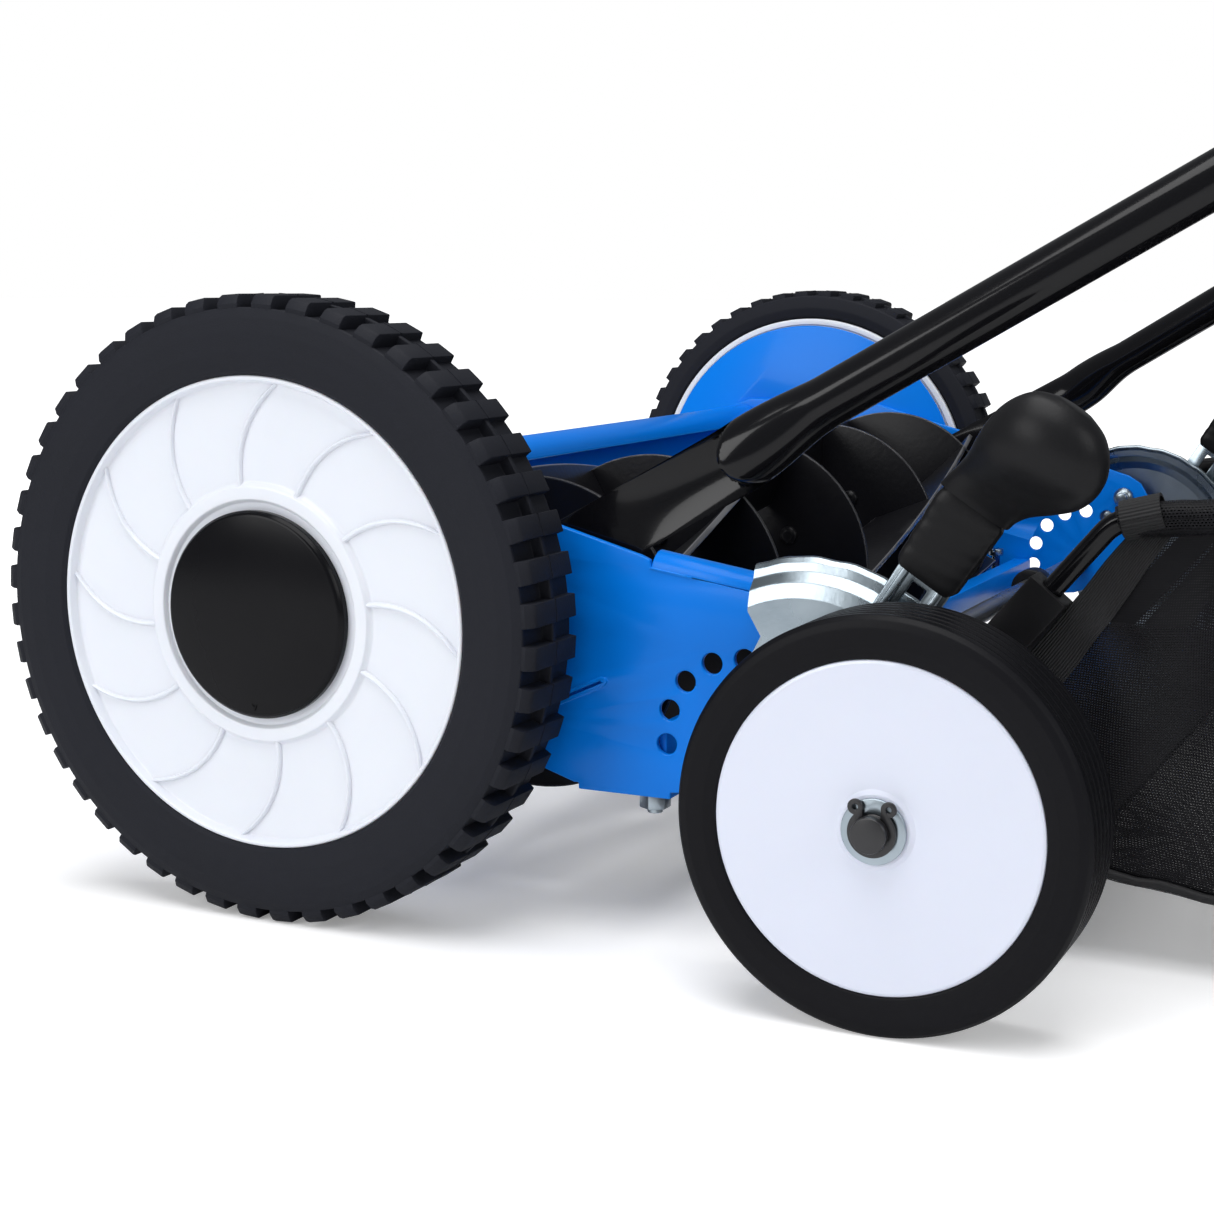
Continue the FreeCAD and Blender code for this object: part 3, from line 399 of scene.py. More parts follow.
def unevenGroup():
    # slow drift of colour and gloss, with a bump from fine speckle
    group, make, given = shaderGroup("unevenSurface", [
        ("Dark", "Color", (0, 0, 0, 1)), ("Light", "Color", (1, 1, 1, 1)), ("Scale", "Float", 8.0),
        ("Grain Scale", "Float", 900.0), ("Bump", "Float", 0.05), ("Gloss Low", "Float", 0.2),
        ("Gloss High", "Float", 0.3)], [("Color", "Color"), ("Roughness", "Float"), ("Normal", "Vector")])
    slow = noise(make, given["Scale"])
    gloss = make("ShaderNodeMapRange", {
        "Value": slow, "To Min": given["Gloss Low"], "To Max": given["Gloss High"]})
    bump = make("ShaderNodeBump", {
        "Distance": 0.0004, "Strength": given["Bump"], "Height": noise(make, given["Grain Scale"], 2.0)})
    make("NodeGroupOutput", {
        "Color": blend(make, slow, given["Dark"], given["Light"]), "Roughness": gloss.outputs[0],
        "Normal": bump.outputs[0]})
    return group


def edgeWearAndHighlightGroup():
    # 1 where an edge stands out, broken up by noise; it marks worn bare steel on the reel and a painted edge
    # highlight on the blue paint
    group, make, given = shaderGroup(
        "edgeWearAndHighlight", [("Width", "Float", 0.0006), ("Amount", "Float", 0.6)], [("Mask", "Float")])
    soft = make("ShaderNodeBevel", {"Radius": given["Width"]}, samples=4)
    flat = make("ShaderNodeNewGeometry").outputs["Normal"]
    facing = make("ShaderNodeVectorMath", {0: soft.outputs[0], 1: flat}, operation="DOT_PRODUCT")
    edge = make("ShaderNodeMapRange", {"From Min": 0.98, "From Max": 0.85, "Value": facing.outputs["Value"]})
    both = calc(make, "MULTIPLY", edge.outputs[0], noise(make, 140.0, 3.0))
    final = make("ShaderNodeMath", {0: both, 1: given["Amount"]}, operation="MULTIPLY", use_clamp=True)
    make("NodeGroupOutput", {"Mask": final.outputs[0]})
    return group


groups = {"uneven": unevenGroup(), "edgeWearAndHighlight": edgeWearAndHighlightGroup()}


def shaderOf(material):
    tree = material.node_tree
    return tree, nodeMaker(tree), tree.nodes["Principled BSDF"]


def newMaterial(name):
    material = bpy.data.materials.new(name)
    material.use_nodes = True
    return (material, *shaderOf(material))


def surface(name, dark, light, gloss, scale, grain, bump, metal=0.0, edgeHighlight=None, **sockets):
    # one finish: uneven colour and gloss, then, where an edge colour is given, a painted highlight of lighter
    # colour along the edges
    material, tree, make, shader = newMaterial(name)
    uneven = make("ShaderNodeGroup", node_tree=groups["uneven"])
    feed(tree, uneven, {
        "Dark": (*dark, 1), "Light": (*light, 1), "Scale": scale, "Grain Scale": grain, "Bump": bump,
        "Gloss Low": gloss[0], "Gloss High": gloss[1]})
    color = uneven.outputs["Color"]
    # painted highlight: edges are mixed toward the lighter edge colour, broken up by noise
    if edgeHighlight:
        edge = make("ShaderNodeGroup", {"Width": edgeHighlight["width"], "Amount": edgeHighlight["amount"]},
                    node_tree=groups["edgeWearAndHighlight"])
        color = blend(make, edge.outputs["Mask"], color, (*edgeHighlight["color"], 1))
    feed(tree, shader, {"Base Color": color, "Roughness": uneven.outputs["Roughness"],
                        "Normal": uneven.outputs["Normal"], "Metallic": metal})
    feed(tree, shader, {label.replace("_", " "): value for label, value in sockets.items()})
    return material


def reelSteel(name):
    # black blades and discs, ground bright where they meet the bed knife
    material = surface(name, (0.002, 0.002, 0.003), (0.007, 0.007, 0.009), (0.26, 0.42), 14, 300, 0.25,
                       Specular_IOR_Level=0.16)
    tree, make, shader = shaderOf(material)
    centre = make("ShaderNodeMapping", {
        "Location": (0, -reelAxis.y, -reelAxis.z), "Scale": (0, 1, 1),
        "Vector": make("ShaderNodeTexCoord").outputs["Object"]})
    reach = make("ShaderNodeVectorMath", {0: centre.outputs[0]}, operation="LENGTH")
    rim = make("ShaderNodeMapRange", {
        "From Min": 65.3 * mm, "From Max": 65.9 * mm, "Value": reach.outputs["Value"]})
    edge = make("ShaderNodeGroup", {"Width": 0.0012, "Amount": 1.1}, node_tree=groups["edgeWearAndHighlight"])
    most = calc(make, "MAXIMUM", rim.outputs[0], edge.outputs["Mask"])
    base = shader.inputs["Base Color"].links[0].from_socket
    feed(tree, shader, {"Base Color": blend(make, most, base, (0.42, 0.42, 0.44, 1)), "Metallic": most})
    return material


def meshCloth(name):
    # knitted mesh: rows of short slots, every other row moved on by half
    pitch, openShare = 1.25 * mm, 0.5
    material, tree, make, shader = newMaterial(name)
    cells = make("ShaderNodeMapping", {
        "Scale": (1 / pitch, 1 / (0.8 * pitch), 1), "Vector": make("ShaderNodeUVMap").outputs[0]})
    parts = make("ShaderNodeSeparateXYZ", {0: cells.outputs[0]}).outputs

    def fromMiddle(value):
        return calc(make, "ABSOLUTE", calc(make, "SUBTRACT", calc(make, "FRACT", value), 0.5))

    oddRow = calc(make, "MODULO", calc(make, "FLOOR", parts["Y"]), 2.0)
    across = fromMiddle(calc(make, "ADD", parts["X"], calc(make, "MULTIPLY", oddRow, 0.5)))
    down = fromMiddle(parts["Y"])
    hole = calc(make, "MULTIPLY", calc(make, "LESS_THAN", across, 0.5 * openShare + 0.06),
                calc(make, "LESS_THAN", down, 0.5 * openShare))
    thread = calc(make, "SUBTRACT", 0.5, calc(make, "MULTIPLY", across, down))
    bump = make("ShaderNodeBump", {"Strength": 0.6, "Distance": 0.0003, "Height": thread})
    tint = blend(make, noise(make, 60.0), (0.003, 0.003, 0.004, 1), (0.010, 0.010, 0.013, 1))
    feed(tree, shader, {
        "Alpha": calc(make, "SUBTRACT", 1.0, hole), "Normal": bump.outputs[0], "Base Color": tint,
        "Roughness": 0.55, "Specular IOR Level": 0.2})
    return material


def webbing(name):
    # ribbed binding tape
    material = surface(name, (0.005, 0.005, 0.006), (0.014, 0.014, 0.016), (0.6, 0.75), 30, 700, 0.3)
    tree, make, shader = shaderOf(material)
    wave = make("ShaderNodeTexWave", {
        "Scale": 260.0, "Vector": make("ShaderNodeUVMap").outputs[0]}, bands_direction="Y")
    bump = make("ShaderNodeBump", {"Strength": 0.7, "Distance": 0.0005, "Height": wave.outputs["Fac"]})
    feed(tree, shader, {"Normal": bump.outputs[0]})
    return material


# painted highlight: the edges of the blue paint turn a lighter, brighter blue
paintEdgeHighlight = {"width": 0.0008, "amount": 0.5, "color": (0.06, 0.45, 0.98)}
finish = {
    "blue_paint": surface(
        "bluePaint", (0.0, 0.17, 0.70), (0.0, 0.20, 0.78), (0.26, 0.34), 5, 500, 0.03,
        edgeHighlight=paintEdgeHighlight, Coat_Weight=0.08, Coat_Roughness=0.1, Specular_IOR_Level=0.12),
    "black_paint": surface(
        "blackPaint", (0.003, 0.003, 0.004), (0.006, 0.006, 0.007), (0.12, 0.2), 9, 380, 0.05,
        Coat_Weight=0.2, Coat_Roughness=0.05, Specular_IOR_Level=0.15),
    "reel_steel": reelSteel("reelBlack"),
    "zinc": surface("zincPlate", (0.17, 0.22, 0.26), (0.46, 0.52, 0.56), (0.2, 0.36), 26, 420, 0.12, 1.0),
    "steel": surface("brightSteel", (0.36, 0.37, 0.40), (0.55, 0.56, 0.58), (0.2, 0.36), 40, 600, 0.1, 1.0),
    "black_steel": surface(
        "blackedSteel", (0.006, 0.006, 0.007), (0.02, 0.02, 0.022), (0.25, 0.4), 40, 500, 0.1),
    "white_plastic": surface(
        "whitePlastic", (0.72, 0.73, 0.79), (0.76, 0.77, 0.82), (0.26, 0.34), 12, 700, 0.02,
        Subsurface_Weight=0.06, Coat_Weight=0.1),
    "lavender_plastic": surface(
        "paleDisc", (0.64, 0.66, 0.77), (0.68, 0.70, 0.80), (0.16, 0.22), 10, 500, 0.01,
        Subsurface_Weight=0.05, Coat_Weight=0.15),
    "tyre": surface(
        "tyreRubber", (0.006, 0.007, 0.011), (0.011, 0.012, 0.018), (0.6, 0.75), 16, 1400, 0.25,
        Specular_IOR_Level=0.2),
    "slick_tyre": surface(
        "slickRubber", (0.002, 0.002, 0.003), (0.005, 0.005, 0.007), (0.42, 0.55), 14, 1100, 0.12,
        Specular_IOR_Level=0.12),
    "gloss_black_plastic": surface(
        "glossBlack", (0.003, 0.003, 0.004), (0.006, 0.006, 0.007), (0.16, 0.24), 22, 160, 0.04,
        Specular_IOR_Level=0.12),
    "satin_black_plastic": surface(
        "satinBlack", (0.006, 0.006, 0.007), (0.012, 0.012, 0.013), (0.3, 0.42), 20, 900, 0.12,
        Specular_IOR_Level=0.14),
    "foam": surface("foamRubber", (0.012, 0.012, 0.012), (0.03, 0.03, 0.03), (0.85, 0.95), 60, 900, 0.8),
    "mesh_fabric": meshCloth("meshCloth"),
    "tape": webbing("bindingTape"),
}
for sub in frame["record"]["subparts"]:
    mesh = nodes[sub["node"]].data
    mesh.materials.clear()
    mesh.materials.append(finish[sub["material_slot"]])
print("finishes built")


frontTyre = {
    "treadRad": 116.8, "lugRad": 119.8, "lugCount": 48, "lugLong": 8.4, "lugIn": 284.6, "lugOut": 317.0,
    "ribIn": 300.2, "ribOut": 302.6, "ribRad": 118.9, "pocketOut": 316.4, "pocketRad": 114.6,
    "innerFace": 282.5, "outerFace": 320.3, "beadRad": 90.0}


def makeFrontTyre(name):
    t = frontTyre
    body = turned(name, [
        (t["innerFace"] + 3.5, 94.5, 0), (t["innerFace"] + 3.5, 102.6, 1), (283.6, 104.2, 1.2),
        (t["innerFace"], 109, 3),
        (284.2, t["treadRad"] - 0.6, 1.6), (285.6, t["treadRad"], 0.6),
        (t["ribIn"] - 0.3, t["treadRad"], 0.5),
        (t["ribIn"], t["ribRad"], 0.5), (t["ribOut"], t["ribRad"], 0.5),
        (t["ribOut"] + 0.3, t["pocketRad"], 0.5),
        (t["pocketOut"], t["pocketRad"], 0.5), (318.2, 115.2, 1.2), (319.6, 111.4, 2.5),
        (t["outerFace"], 106, 8),
        (t["outerFace"] - 0.2, 98.5, 5), (318.9, 91.6, 1.0), (317.6, t["beadRad"] + 0.1, 0.6),
        (311, t["beadRad"] + 0.1, 0.4), (309, 94.3, 0.5)], frontAxis, 192)
    half = t["lugLong"] / 2
    x0, x1 = t["lugIn"], t["lugOut"]
    low, top = 111.0, t["lugRad"]
    ends = []
    for x, r, swell in ((x0, low, 0.4), (x0 + 0.8, top, 0), ((x0 + x1) / 2, top, 0), (x1 - 1.6, top, 0),
                        (x1, top - 0.9, 0.1), (x1 + 1.5, top - 3.6, 0.3), (x1 + 1.0, low, 0.3)):
        ends.append((x, r, half + swell))
    verts = [(x * mm, r * mm, s * h * mm) for x, r, h in ends for s in (-1, 1)]
    verts += [(x0 * mm, 108 * mm, s * (half + 0.6) * mm) for s in (-1, 1)]
    count = len(ends)
    faces = [(2 * i, 2 * i + 1, 2 * i + 3, 2 * i + 2) for i in range(count - 1)]
    faces += [(2 * count - 2, 2 * count - 1, 2 * count + 1, 2 * count), (2 * count, 2 * count + 1, 1, 0)]
    for s in (0, 1):
        faces.append([2 * i + s for i in range(count + 1)])
    lug = beveled(cleaned(newPiece("lug", verts, faces)), 0.45 * mm, 2, 35)
    split = 0.35  # a fine mould line stands up across the middle of each lug
    line = slab("mouldLine", [(top - 1, -half), (top + 0.18, -half), (top + 0.18, half), (top - 1, half)],
                (x0 + x1) / 2 - split, (x0 + x1) / 2 + split)
    joinPieces(lug, [line])
    return ringOf(name, lug, t["lugCount"], "tyre", frontAxis, math.radians(3.75), base=body)


def joinPieces(main, others):
    bm = bmesh.new()
    bm.from_mesh(main.data)
    for piece in others:
        bm.from_mesh(piece.data)
        bpy.data.objects.remove(piece)
    bm.to_mesh(main.data)
    bm.free()
    return main


frontFace = {"ribs": 12, "ribFrom": 48.0, "ribTo": 87.6, "sweep": 15.0, "first": 8.0, "wide": 1.15,
             "high": 1.7,
             "web": 314.0, "rim": 317.8, "teeth": 86, "toothIn": 84.4, "toothOut": 88.2}


def makeFrontFace(name):
    f = frontFace
    body = turned(name, [
        (284.5, 6.05, 0), (284.5, 16, 0.6), (311, 20, 2), (311, 83.6, 2), (296, 88.2, 1), (283.4, 88.2, 0.6),
        (283.4, 98.4, 0.6), (282.5, 98.8, 0.5), (282.5, 102.3, 0.8), (286.4, 102.3, 0.5), (286.4, 94, 1),
        (309, 94, 1),
        (311, 90, 1), (f["rim"], 90, 0.9), (f["rim"], 88.3, 0.8), (f["web"] + 0.3, 87.2, 0.8),
        (f["web"], 84, 1.2),
        (f["web"], 50.2, 1.2), (f["web"] + 1.2, 49.2, 0.8), (316.3, 48.6, 0.9), (316.3, 43.8, 0.9),
        (f["web"] + 0.2, 42.6, 0.6), (f["web"], 16, 1), (311.5, 16, 0.5), (311.5, 6.05, 0)], frontAxis, 192)
    line = []
    for i in range(15):
        t = i / 14
        rad = f["ribFrom"] + (f["ribTo"] - f["ribFrom"]) * t
        line.append((rad, -math.radians(f["sweep"]) * t ** 1.9))
    verts = []
    ring = 9
    for rad, a in line:
        for k in range(ring):
            b = math.pi * k / (ring - 1)
            off = f["wide"] * math.cos(b)
            x = f["web"] - 0.4 + (f["high"] + 0.4) * math.sin(b) ** 0.8
            turn = a + off / rad
            verts.append((x * mm, rad * math.cos(turn) * mm, rad * math.sin(turn) * mm))
    faces = around(len(line), ring)
    faces += [tuple(range(ring)), tuple(range(len(verts) - 1, len(verts) - ring - 1, -1))]
    rib = cleaned(newPiece("rib", verts, faces))
    ringOf(name, rib, f["ribs"], "white_plastic", frontAxis, math.radians(f["first"]), base=body)
    tooth = slab("tooth", [(f["toothOut"] + 0.4, -2.1), (f["toothIn"], -0.9), (f["toothIn"], 0.9),
                           (f["toothOut"] + 0.4, 2.1)], 284.5, 296)
    return ringOf(name, tooth, f["teeth"], "white_plastic", frontAxis,
                  math.radians(-11.73) + math.pi / f["teeth"],
                  base=body)


capSize = {"rad": 39.7, "seat": 314.0, "shoulder": 318.6, "crown": 321.2}


def makeCap(name):
    c = capSize
    cap = turned(name, [
        (c["seat"], c["rad"] - 3, 0), (c["seat"], c["rad"], 0.5), (317.0, c["rad"], 0.8),
        (c["shoulder"], 38.4, 2),
        (320.2, 26, 30), (c["crown"], 8, 10), (c["crown"], 0, 0), (c["crown"] - 2, 0, 0), (318.4, 26, 20),
        (317.2, 36.4, 1)], frontAxis, 160, 6)
    mark = slab("arrowMark", [(-1.2, -33.8), (0, -36.4), (1.2, -33.8), (0, -35.0)], 319.0, 319.5)
    mark.data.transform(Matrix.Translation(frontAxis))
    return joinPieces(cap, [mark])


bothSides(makeFrontTyre, "frontTyre", "front_wheel", "tyre", "front_tyre", 32)
bothSides(makeFrontFace, "frontFace", "front_wheel", "white_plastic", "front_hub", 40)
bothSides(makeCap, "hubCap", "front_wheel", "gloss_black_plastic", "hub_cap", 50)
print("front wheels built")


def makeRearDisc(name):
    return turned(name, [
        (300.6, 6.05, 0), (300.6, 11, 0.5), (330.5, 12, 1), (330.5, 50, 2), (302, 50.5, 1), (302, 54, 0.5),
        (331.4, 54, 0.3), (331.4, 55.7, 0.3), (333.7, 55.7, 0.7), (334.1, 54.4, 0.6), (333.8, 51, 2),
        (333.6, 13.4, 0.8), (334.6, 12, 0.5), (334.6, 6.05, 0)], rearAxis, 160)


rearTyre = {"rad": 70.0, "grooves": 5, "firstGroove": 306.5, "step": 5.2, "deep": 1.2}


def makeRearTyre(name):
    t = rearTyre
    line = [(300, 54, 0), (300, 66, 3), (301.4, 68.9, 1.5), (303.6, t["rad"], 1.5)]
    for i in range(t["grooves"]):
        x = t["firstGroove"] + t["step"] * i
        line += [(x, t["rad"], 0.3), (x + 0.4, t["rad"] - t["deep"], 0.25),
                 (x + 1.4, t["rad"] - t["deep"], 0.25),
                 (x + 1.8, t["rad"], 0.3)]
    line += [(332.2, t["rad"], 1.2), (334.2, 68.6, 1.4), (335, 66, 3), (334.9, 60, 3), (334.3, 56.4, 0.5),
             (334.0, 55.8, 0.2), (331.4, 55.8, 0), (331.4, 54.1, 0)]
    return turned(name, line, rearAxis, 192, 3)


bothSides(makeRearDisc, "rearDisc", "rear_wheel", "lavender_plastic", "rear_hub", 40)
bothSides(makeRearTyre, "rearTyre", "rear_wheel", "slick_tyre", "rear_tyre", 32)
print("rear wheels built")


reelSize = {"half": 248.0, "inner": 32.0, "outer": 66.0, "thick": 2.4, "first": -0.8, "twist": -0.2,
            "blades": 5,
            "discRad": 63.4, "discStep": 113.8, "hubRad": 13.5, "rivetRing": 27.0}


def makeBlades(name):
    r = reelSize
    strip = newPiece("strip", [], [])
    runTree(strip, trees["blade"], {
        "Length": 2 * r["half"] * mm, "Inner": r["inner"] * mm, "Outer": r["outer"] * mm,
        "First": math.radians(r["first"]), "Twist": math.radians(r["twist"]) / mm, "Steps": 90,
        "Material": finish["reel_steel"]})
    wall = strip.modifiers.new("wall", "SOLIDIFY")
    wall.thickness = r["thick"] * mm
    wall.offset = 0
    applied(strip)
    beveled(strip, 0.25 * mm, 1, 50)
    return ringOf(name, strip, r["blades"], "reel_steel", reelAxis)


def makeDiscs(name):
    r = reelSize
    seed = turned("disc", [(-1, 8, 0), (-7, 8, 0), (-7, r["hubRad"], 0.8), (-1, r["hubRad"], 0.8),
                  (-1, r["discRad"], 0.3),
                           (1, r["discRad"], 0.3), (1, r["hubRad"], 0.8), (7, r["hubRad"], 0.8), (7, 8, 0)],
                  Vector((0, 0, 0)), 96, 2)
    return spread(name, seed, 5, "reel_steel", start=(-2 * r["discStep"] * mm, reelAxis.y, reelAxis.z),
                  shift=(r["discStep"] * mm, 0, 0))


def makeRivets(name):
    r = reelSize
    seed = turned("rivet", [(-3.4, 0, 0), (-3.4, 2.4, 0.6), (-2.4, 4.2, 1.2), (-1, 4.6, 0.2), (1, 4.6, 0.2),
                            (2.4, 4.2, 1.2), (3.4, 2.4, 0.6),
                            (3.4, 0, 0)], Vector((0, r["rivetRing"] * mm, 0)), 20, 3)
    around = ringOf("rivetRing", seed, r["blades"], "reel_steel", Vector((0, 0, 0)))
    first = math.radians(r["first"] + 36 - 2 * r["twist"] * r["discStep"])
    return spread(name, around, 5, "reel_steel", math.radians(r["twist"]) * r["discStep"], first,
                  (-2 * r["discStep"] * mm, reelAxis.y, reelAxis.z), (r["discStep"] * mm, 0, 0))


placed(makeBlades("reelBlades"), "reel", "reel_steel", ["reel_blades"], 45)
placed(makeDiscs("reelDiscs"), "reel", "reel_steel", ["reel_discs"], 40)
placed(makeRivets("discRivets"), "reel", "reel_steel", ["disc_rivets"], 40)
print("reel built")


legSize = {"wide": 12.75, "thin": 2.3, "wall": 4.0, "rad": 9.5, "crushed": 94.0, "pivotX": 266.2,
           "slope": 0.557,
           "top": 520.0, "bendFrom": 82.0, "bendTo": 119.0}


legLine = {"x": 257.5, "y": 200, "z": 199.2, "inwards": 0.22, "rise": 0.60}


def legPoint(y):
    # the point of the leg's centre line at this y
    n = legLine
    return Vector((n["x"] - n["inwards"] * (y - n["y"]), y, n["z"] + n["rise"] * (y - n["y"])))


def smooth(t):
    t = max(0.0, min(1.0, t))
    return t * t * (3 - 2 * t)


def makeLeg(name):
    g = legSize
    pivot = Vector((g["pivotX"], handleAxis.y / mm, handleAxis.z / mm))
    flatDir = Vector((0, 1, g["slope"])).normalized()
    widthDir = Vector((0, -flatDir.z, flatDir.y))
    upDir = (legPoint(400) - legPoint(300)).normalized()
    start, end = pivot + flatDir * g["bendFrom"], legPoint(200)
    span = g["bendTo"] - g["bendFrom"]

    def centre(s):
        if s <= g["bendFrom"]:
            return pivot + flatDir * s
        if s >= g["bendTo"]:
            return end + upDir * (s - g["bendTo"])
        t = (s - g["bendFrom"]) / span
        h = (2 * t ** 3 - 3 * t ** 2 + 1, t ** 3 - 2 * t ** 2 + t, -2 * t ** 3 + 3 * t ** 2, t ** 3 - t ** 2)
        return start * h[0] + flatDir * (h[1] * span) + end * h[2] + upDir * (h[3] * span)

    full = g["bendTo"] + (legPoint(g["top"]) - end).length
    stations = [-g["wide"] * math.cos(math.radians(a)) for a in range(0, 91, 15)]
    stations += [6 * i for i in range(1, 13)] + [76 + 0.8 * i for i in range(64)]
    stations += [128 + 8 * i for i in range(int((full - 128) / 8))] + [full]
    sides = 48
    verts = []
    for s in stations:
        p = centre(s)
        ahead = (centre(s + 0.5) - centre(s - 0.5)).normalized()
        wide = (widthDir - ahead * widthDir.dot(ahead)).normalized()
        out = ahead.cross(wide)
        half = g["wide"] + (g["rad"] - g["wide"]) * smooth((s - 93) / 34)
        if s < 0:
            half = math.sqrt(max(0.0, g["wide"] ** 2 - s * s))
        deep = g["thin"] + (g["rad"] - g["thin"]) * smooth((s - 8) / 84)
        for k in range(sides):
            a = 2 * math.pi * k / sides
            u, v = math.cos(a), math.sin(a)
            if v >= 0:
                pinched = g["wall"] - deep
                nose = g["crushed"] - 13.5 * v
                round1 = smooth((s - nose) / 3.6)
                depth = (pinched + (g["rad"] - pinched) * round1) * v
            else:
                depth = deep * v
            verts.append((p + wide * (half * u) + out * depth) * mm)
    faces = around(len(stations), sides)
    faces.append(tuple(range(len(verts) - sides, len(verts))))
    return cleaned(newPiece(name, verts, faces))


leftLeg = makeLeg("handleLegLeft")
placed(mirroredCopy(leftLeg, "handleLegRight"), "handle", "black_paint", ["handle_leg_right"], 50)
placed(leftLeg, "handle", "black_paint", ["handle_leg_left"], 50)

upperSize = {"rad": 11.0, "bend": 60.0, "gripY": 985.0, "gripZ": 770.0, "gripHalf": 118.0, "foamRad": 16.5,
             "braceY": 410.0, "braceRad": 7.0, "knobY": 492.0}


def makeUpperHandle(name):
    u = upperSize
    a, b = legPoint(465), legPoint(590)
    c = Vector((b.x, u["gripY"], u["gripZ"]))
    corner = [a, b, c] + [Vector((-p.x, p.y, p.z)) for p in (c, b, a)]
    path = roundedPath(corner, u["bend"])
    lip = 1.5
    path = [path[0], path[0] + (path[1] - path[0]).normalized() * lip] + path[1:-1] + [
        path[-1] + (path[-2] - path[-1]).normalized() * lip, path[-1]]
    ends = (0, len(path) - 1)
    return swept(name, path, tubeSection(path, lambda i: u["rad"] - (0.6 if i in ends else 0), 32))


def makeFoamGrip(name):
    u = upperSize
    h = u["gripHalf"]
    axis = Vector((0, u["gripY"] * mm, u["gripZ"] * mm))
    line = [(-h, u["rad"] + 0.05, 0), (-h, u["foamRad"], 2.5)]
    line += [(x, u["foamRad"] + 0.25 * math.sin(x * 0.21) * math.sin(x * 0.07)) for x in range(-108, 109, 9)]
    line += [(h, u["foamRad"], 2.5), (h, u["rad"] + 0.05, 0)]
    return turned(name, line, axis, 64)


def makeBrace(name):
    u = upperSize
    at = legPoint(u["braceY"])
    path = []
    for i in range(41):
        x = (at.x - 5) * (1 - i / 20)
        path.append(Vector((x, at.y, at.z)))

    def section(i, side, up):
        near = max(0.0, abs(path[i].x) - (at.x - 26)) / 26
        pinch = 1 - 0.42 * smooth(near)
        r = u["braceRad"]
        return [path[i] + side * (r * pinch * math.cos(2 * math.pi * k / 24))
                + up * (r * (2 - pinch) * 0.95 * math.sin(2 * math.pi * k / 24)) for k in range(24)]
    return swept(name, path, section)


def makeHandleKnobs(name):
    u = upperSize
    at = legPoint(u["knobY"])
    x = at.x
    knob = turned(name, [
        (x - 15, 0, 0), (x - 15, 5, 0.6), (x - 11.6, 5, 0.5), (x - 11.6, 3, 0), (x + 11.4, 3, 0),
        (x + 11.4, 9, 0.8),
        (x + 14, 14, 2), (x + 24, 15.4, 2.5), (x + 27, 12, 2), (x + 28, 0, 0)], at * mm, 96, 4, (6, 0.07, 12))
    return joinPieces(knob, [mirroredCopy(knob, "other")])


placed(makeUpperHandle("upperHandle"), "handle", "black_paint", ["upper_handle"], 50)
grip = placed(makeFoamGrip("foamGrip"), "handle", "foam", ["foam_grip"], 50)
placed(makeBrace("handleBrace"), "handle", "black_paint", ["handle_brace"], 50)
placed(makeHandleKnobs("handleKnobs"), "handle", "gloss_black_plastic", ["handle_knobs"], 40)
print("handle built")


dishSize = {"y": 208.0, "z": 87.0, "rim": 62.5}
leverSize = {"angle": 57.0, "y": 252.5, "z": 146.5}
knobRings = [  # along the lever, across it, half width, half depth, X of the middle, squareness
    (29.5, 0.0, 13.6, 5.6, 288.6, 3.2), (33, -0.8, 13.8, 6.1, 289.4, 3.0), (38, -3.2, 14.8, 7.2, 291.4, 2.6),
    (44, -7.0, 17.4, 9.4, 295.0, 2.3), (50, -9.8, 20.0, 11.4, 298.6, 2.1),
    (57, -11.3, 21.2, 12.6, 301.4, 2.0),
    (64, -11.7, 20.4, 12.5, 302.4, 2.0), (70, -11.5, 17.4, 11.0, 302.5, 2.0),
    (74.5, -11.2, 12.8, 8.2, 302.4, 2.0),
    (77, -11.2, 6.4, 4.2, 302.3, 2.0)]


def leverSpot(x, along, across):
    a = math.radians(leverSize["angle"])
    y = leverSize["y"] + along * math.cos(a) - across * math.sin(a)
    z = leverSize["z"] + along * math.sin(a) + across * math.cos(a)
    return Vector((x, y, z))


def makeDish(name):
    axis = Vector((0, dishSize["y"], dishSize["z"])) * mm
    rim = dishSize["rim"]
    dish = turned(name, [
        (284.7, 0, 0), (286.5, 0, 0), (286.5, 49, 3), (284.6, 54.4, 2.5), (281.2, 57.4, 2.5),
        (280.0, 60.6, 1.6),
        (278.6, rim, 1.4), (276.2, rim, 1.0), (275.6, 61.2, 0.6), (276.6, 60.6, 0.6), (278.2, 59.6, 1.2),
        (279.4, 56.0, 2.2), (283.2, 52.6, 2.2), (284.7, 48.4, 2)], axis, 144, 5)
    front = [(100, 200), (187, 200), (187.5, 130), (192.5, 121.5), (190, 116.5), (183, 107.5), (176, 97),
             (169, 87), (168, 78), (169, 70), (175, 59), (180, 47), (180, 10), (100, 10)]
    cutter = slab("dishFront", front, 270, 300)
    cut = dish.modifiers.new("front", "BOOLEAN")
    cut.object = cutter
    cut.solver = "EXACT"
    applied(dish)
    bpy.data.objects.remove(cutter)
    # the trimmed sheet edge is a little wavy
    for v in dish.data.vertices:
        away = v.co - axis
        rad = math.hypot(away.y, away.z) / mm
        if rad > 55:
            turn = math.atan2(away.z, away.y)
            lift = 0.35 * math.sin(turn * 23) * math.sin(turn * 7 + 1) * (rad - 55) / 7
            v.co.y += lift * mm * math.cos(turn)
            v.co.z += lift * mm * math.sin(turn)
    return dish


def makeLever(name):
    return softened("adjuster_lever_left", name, 0.45 * mm, 3)


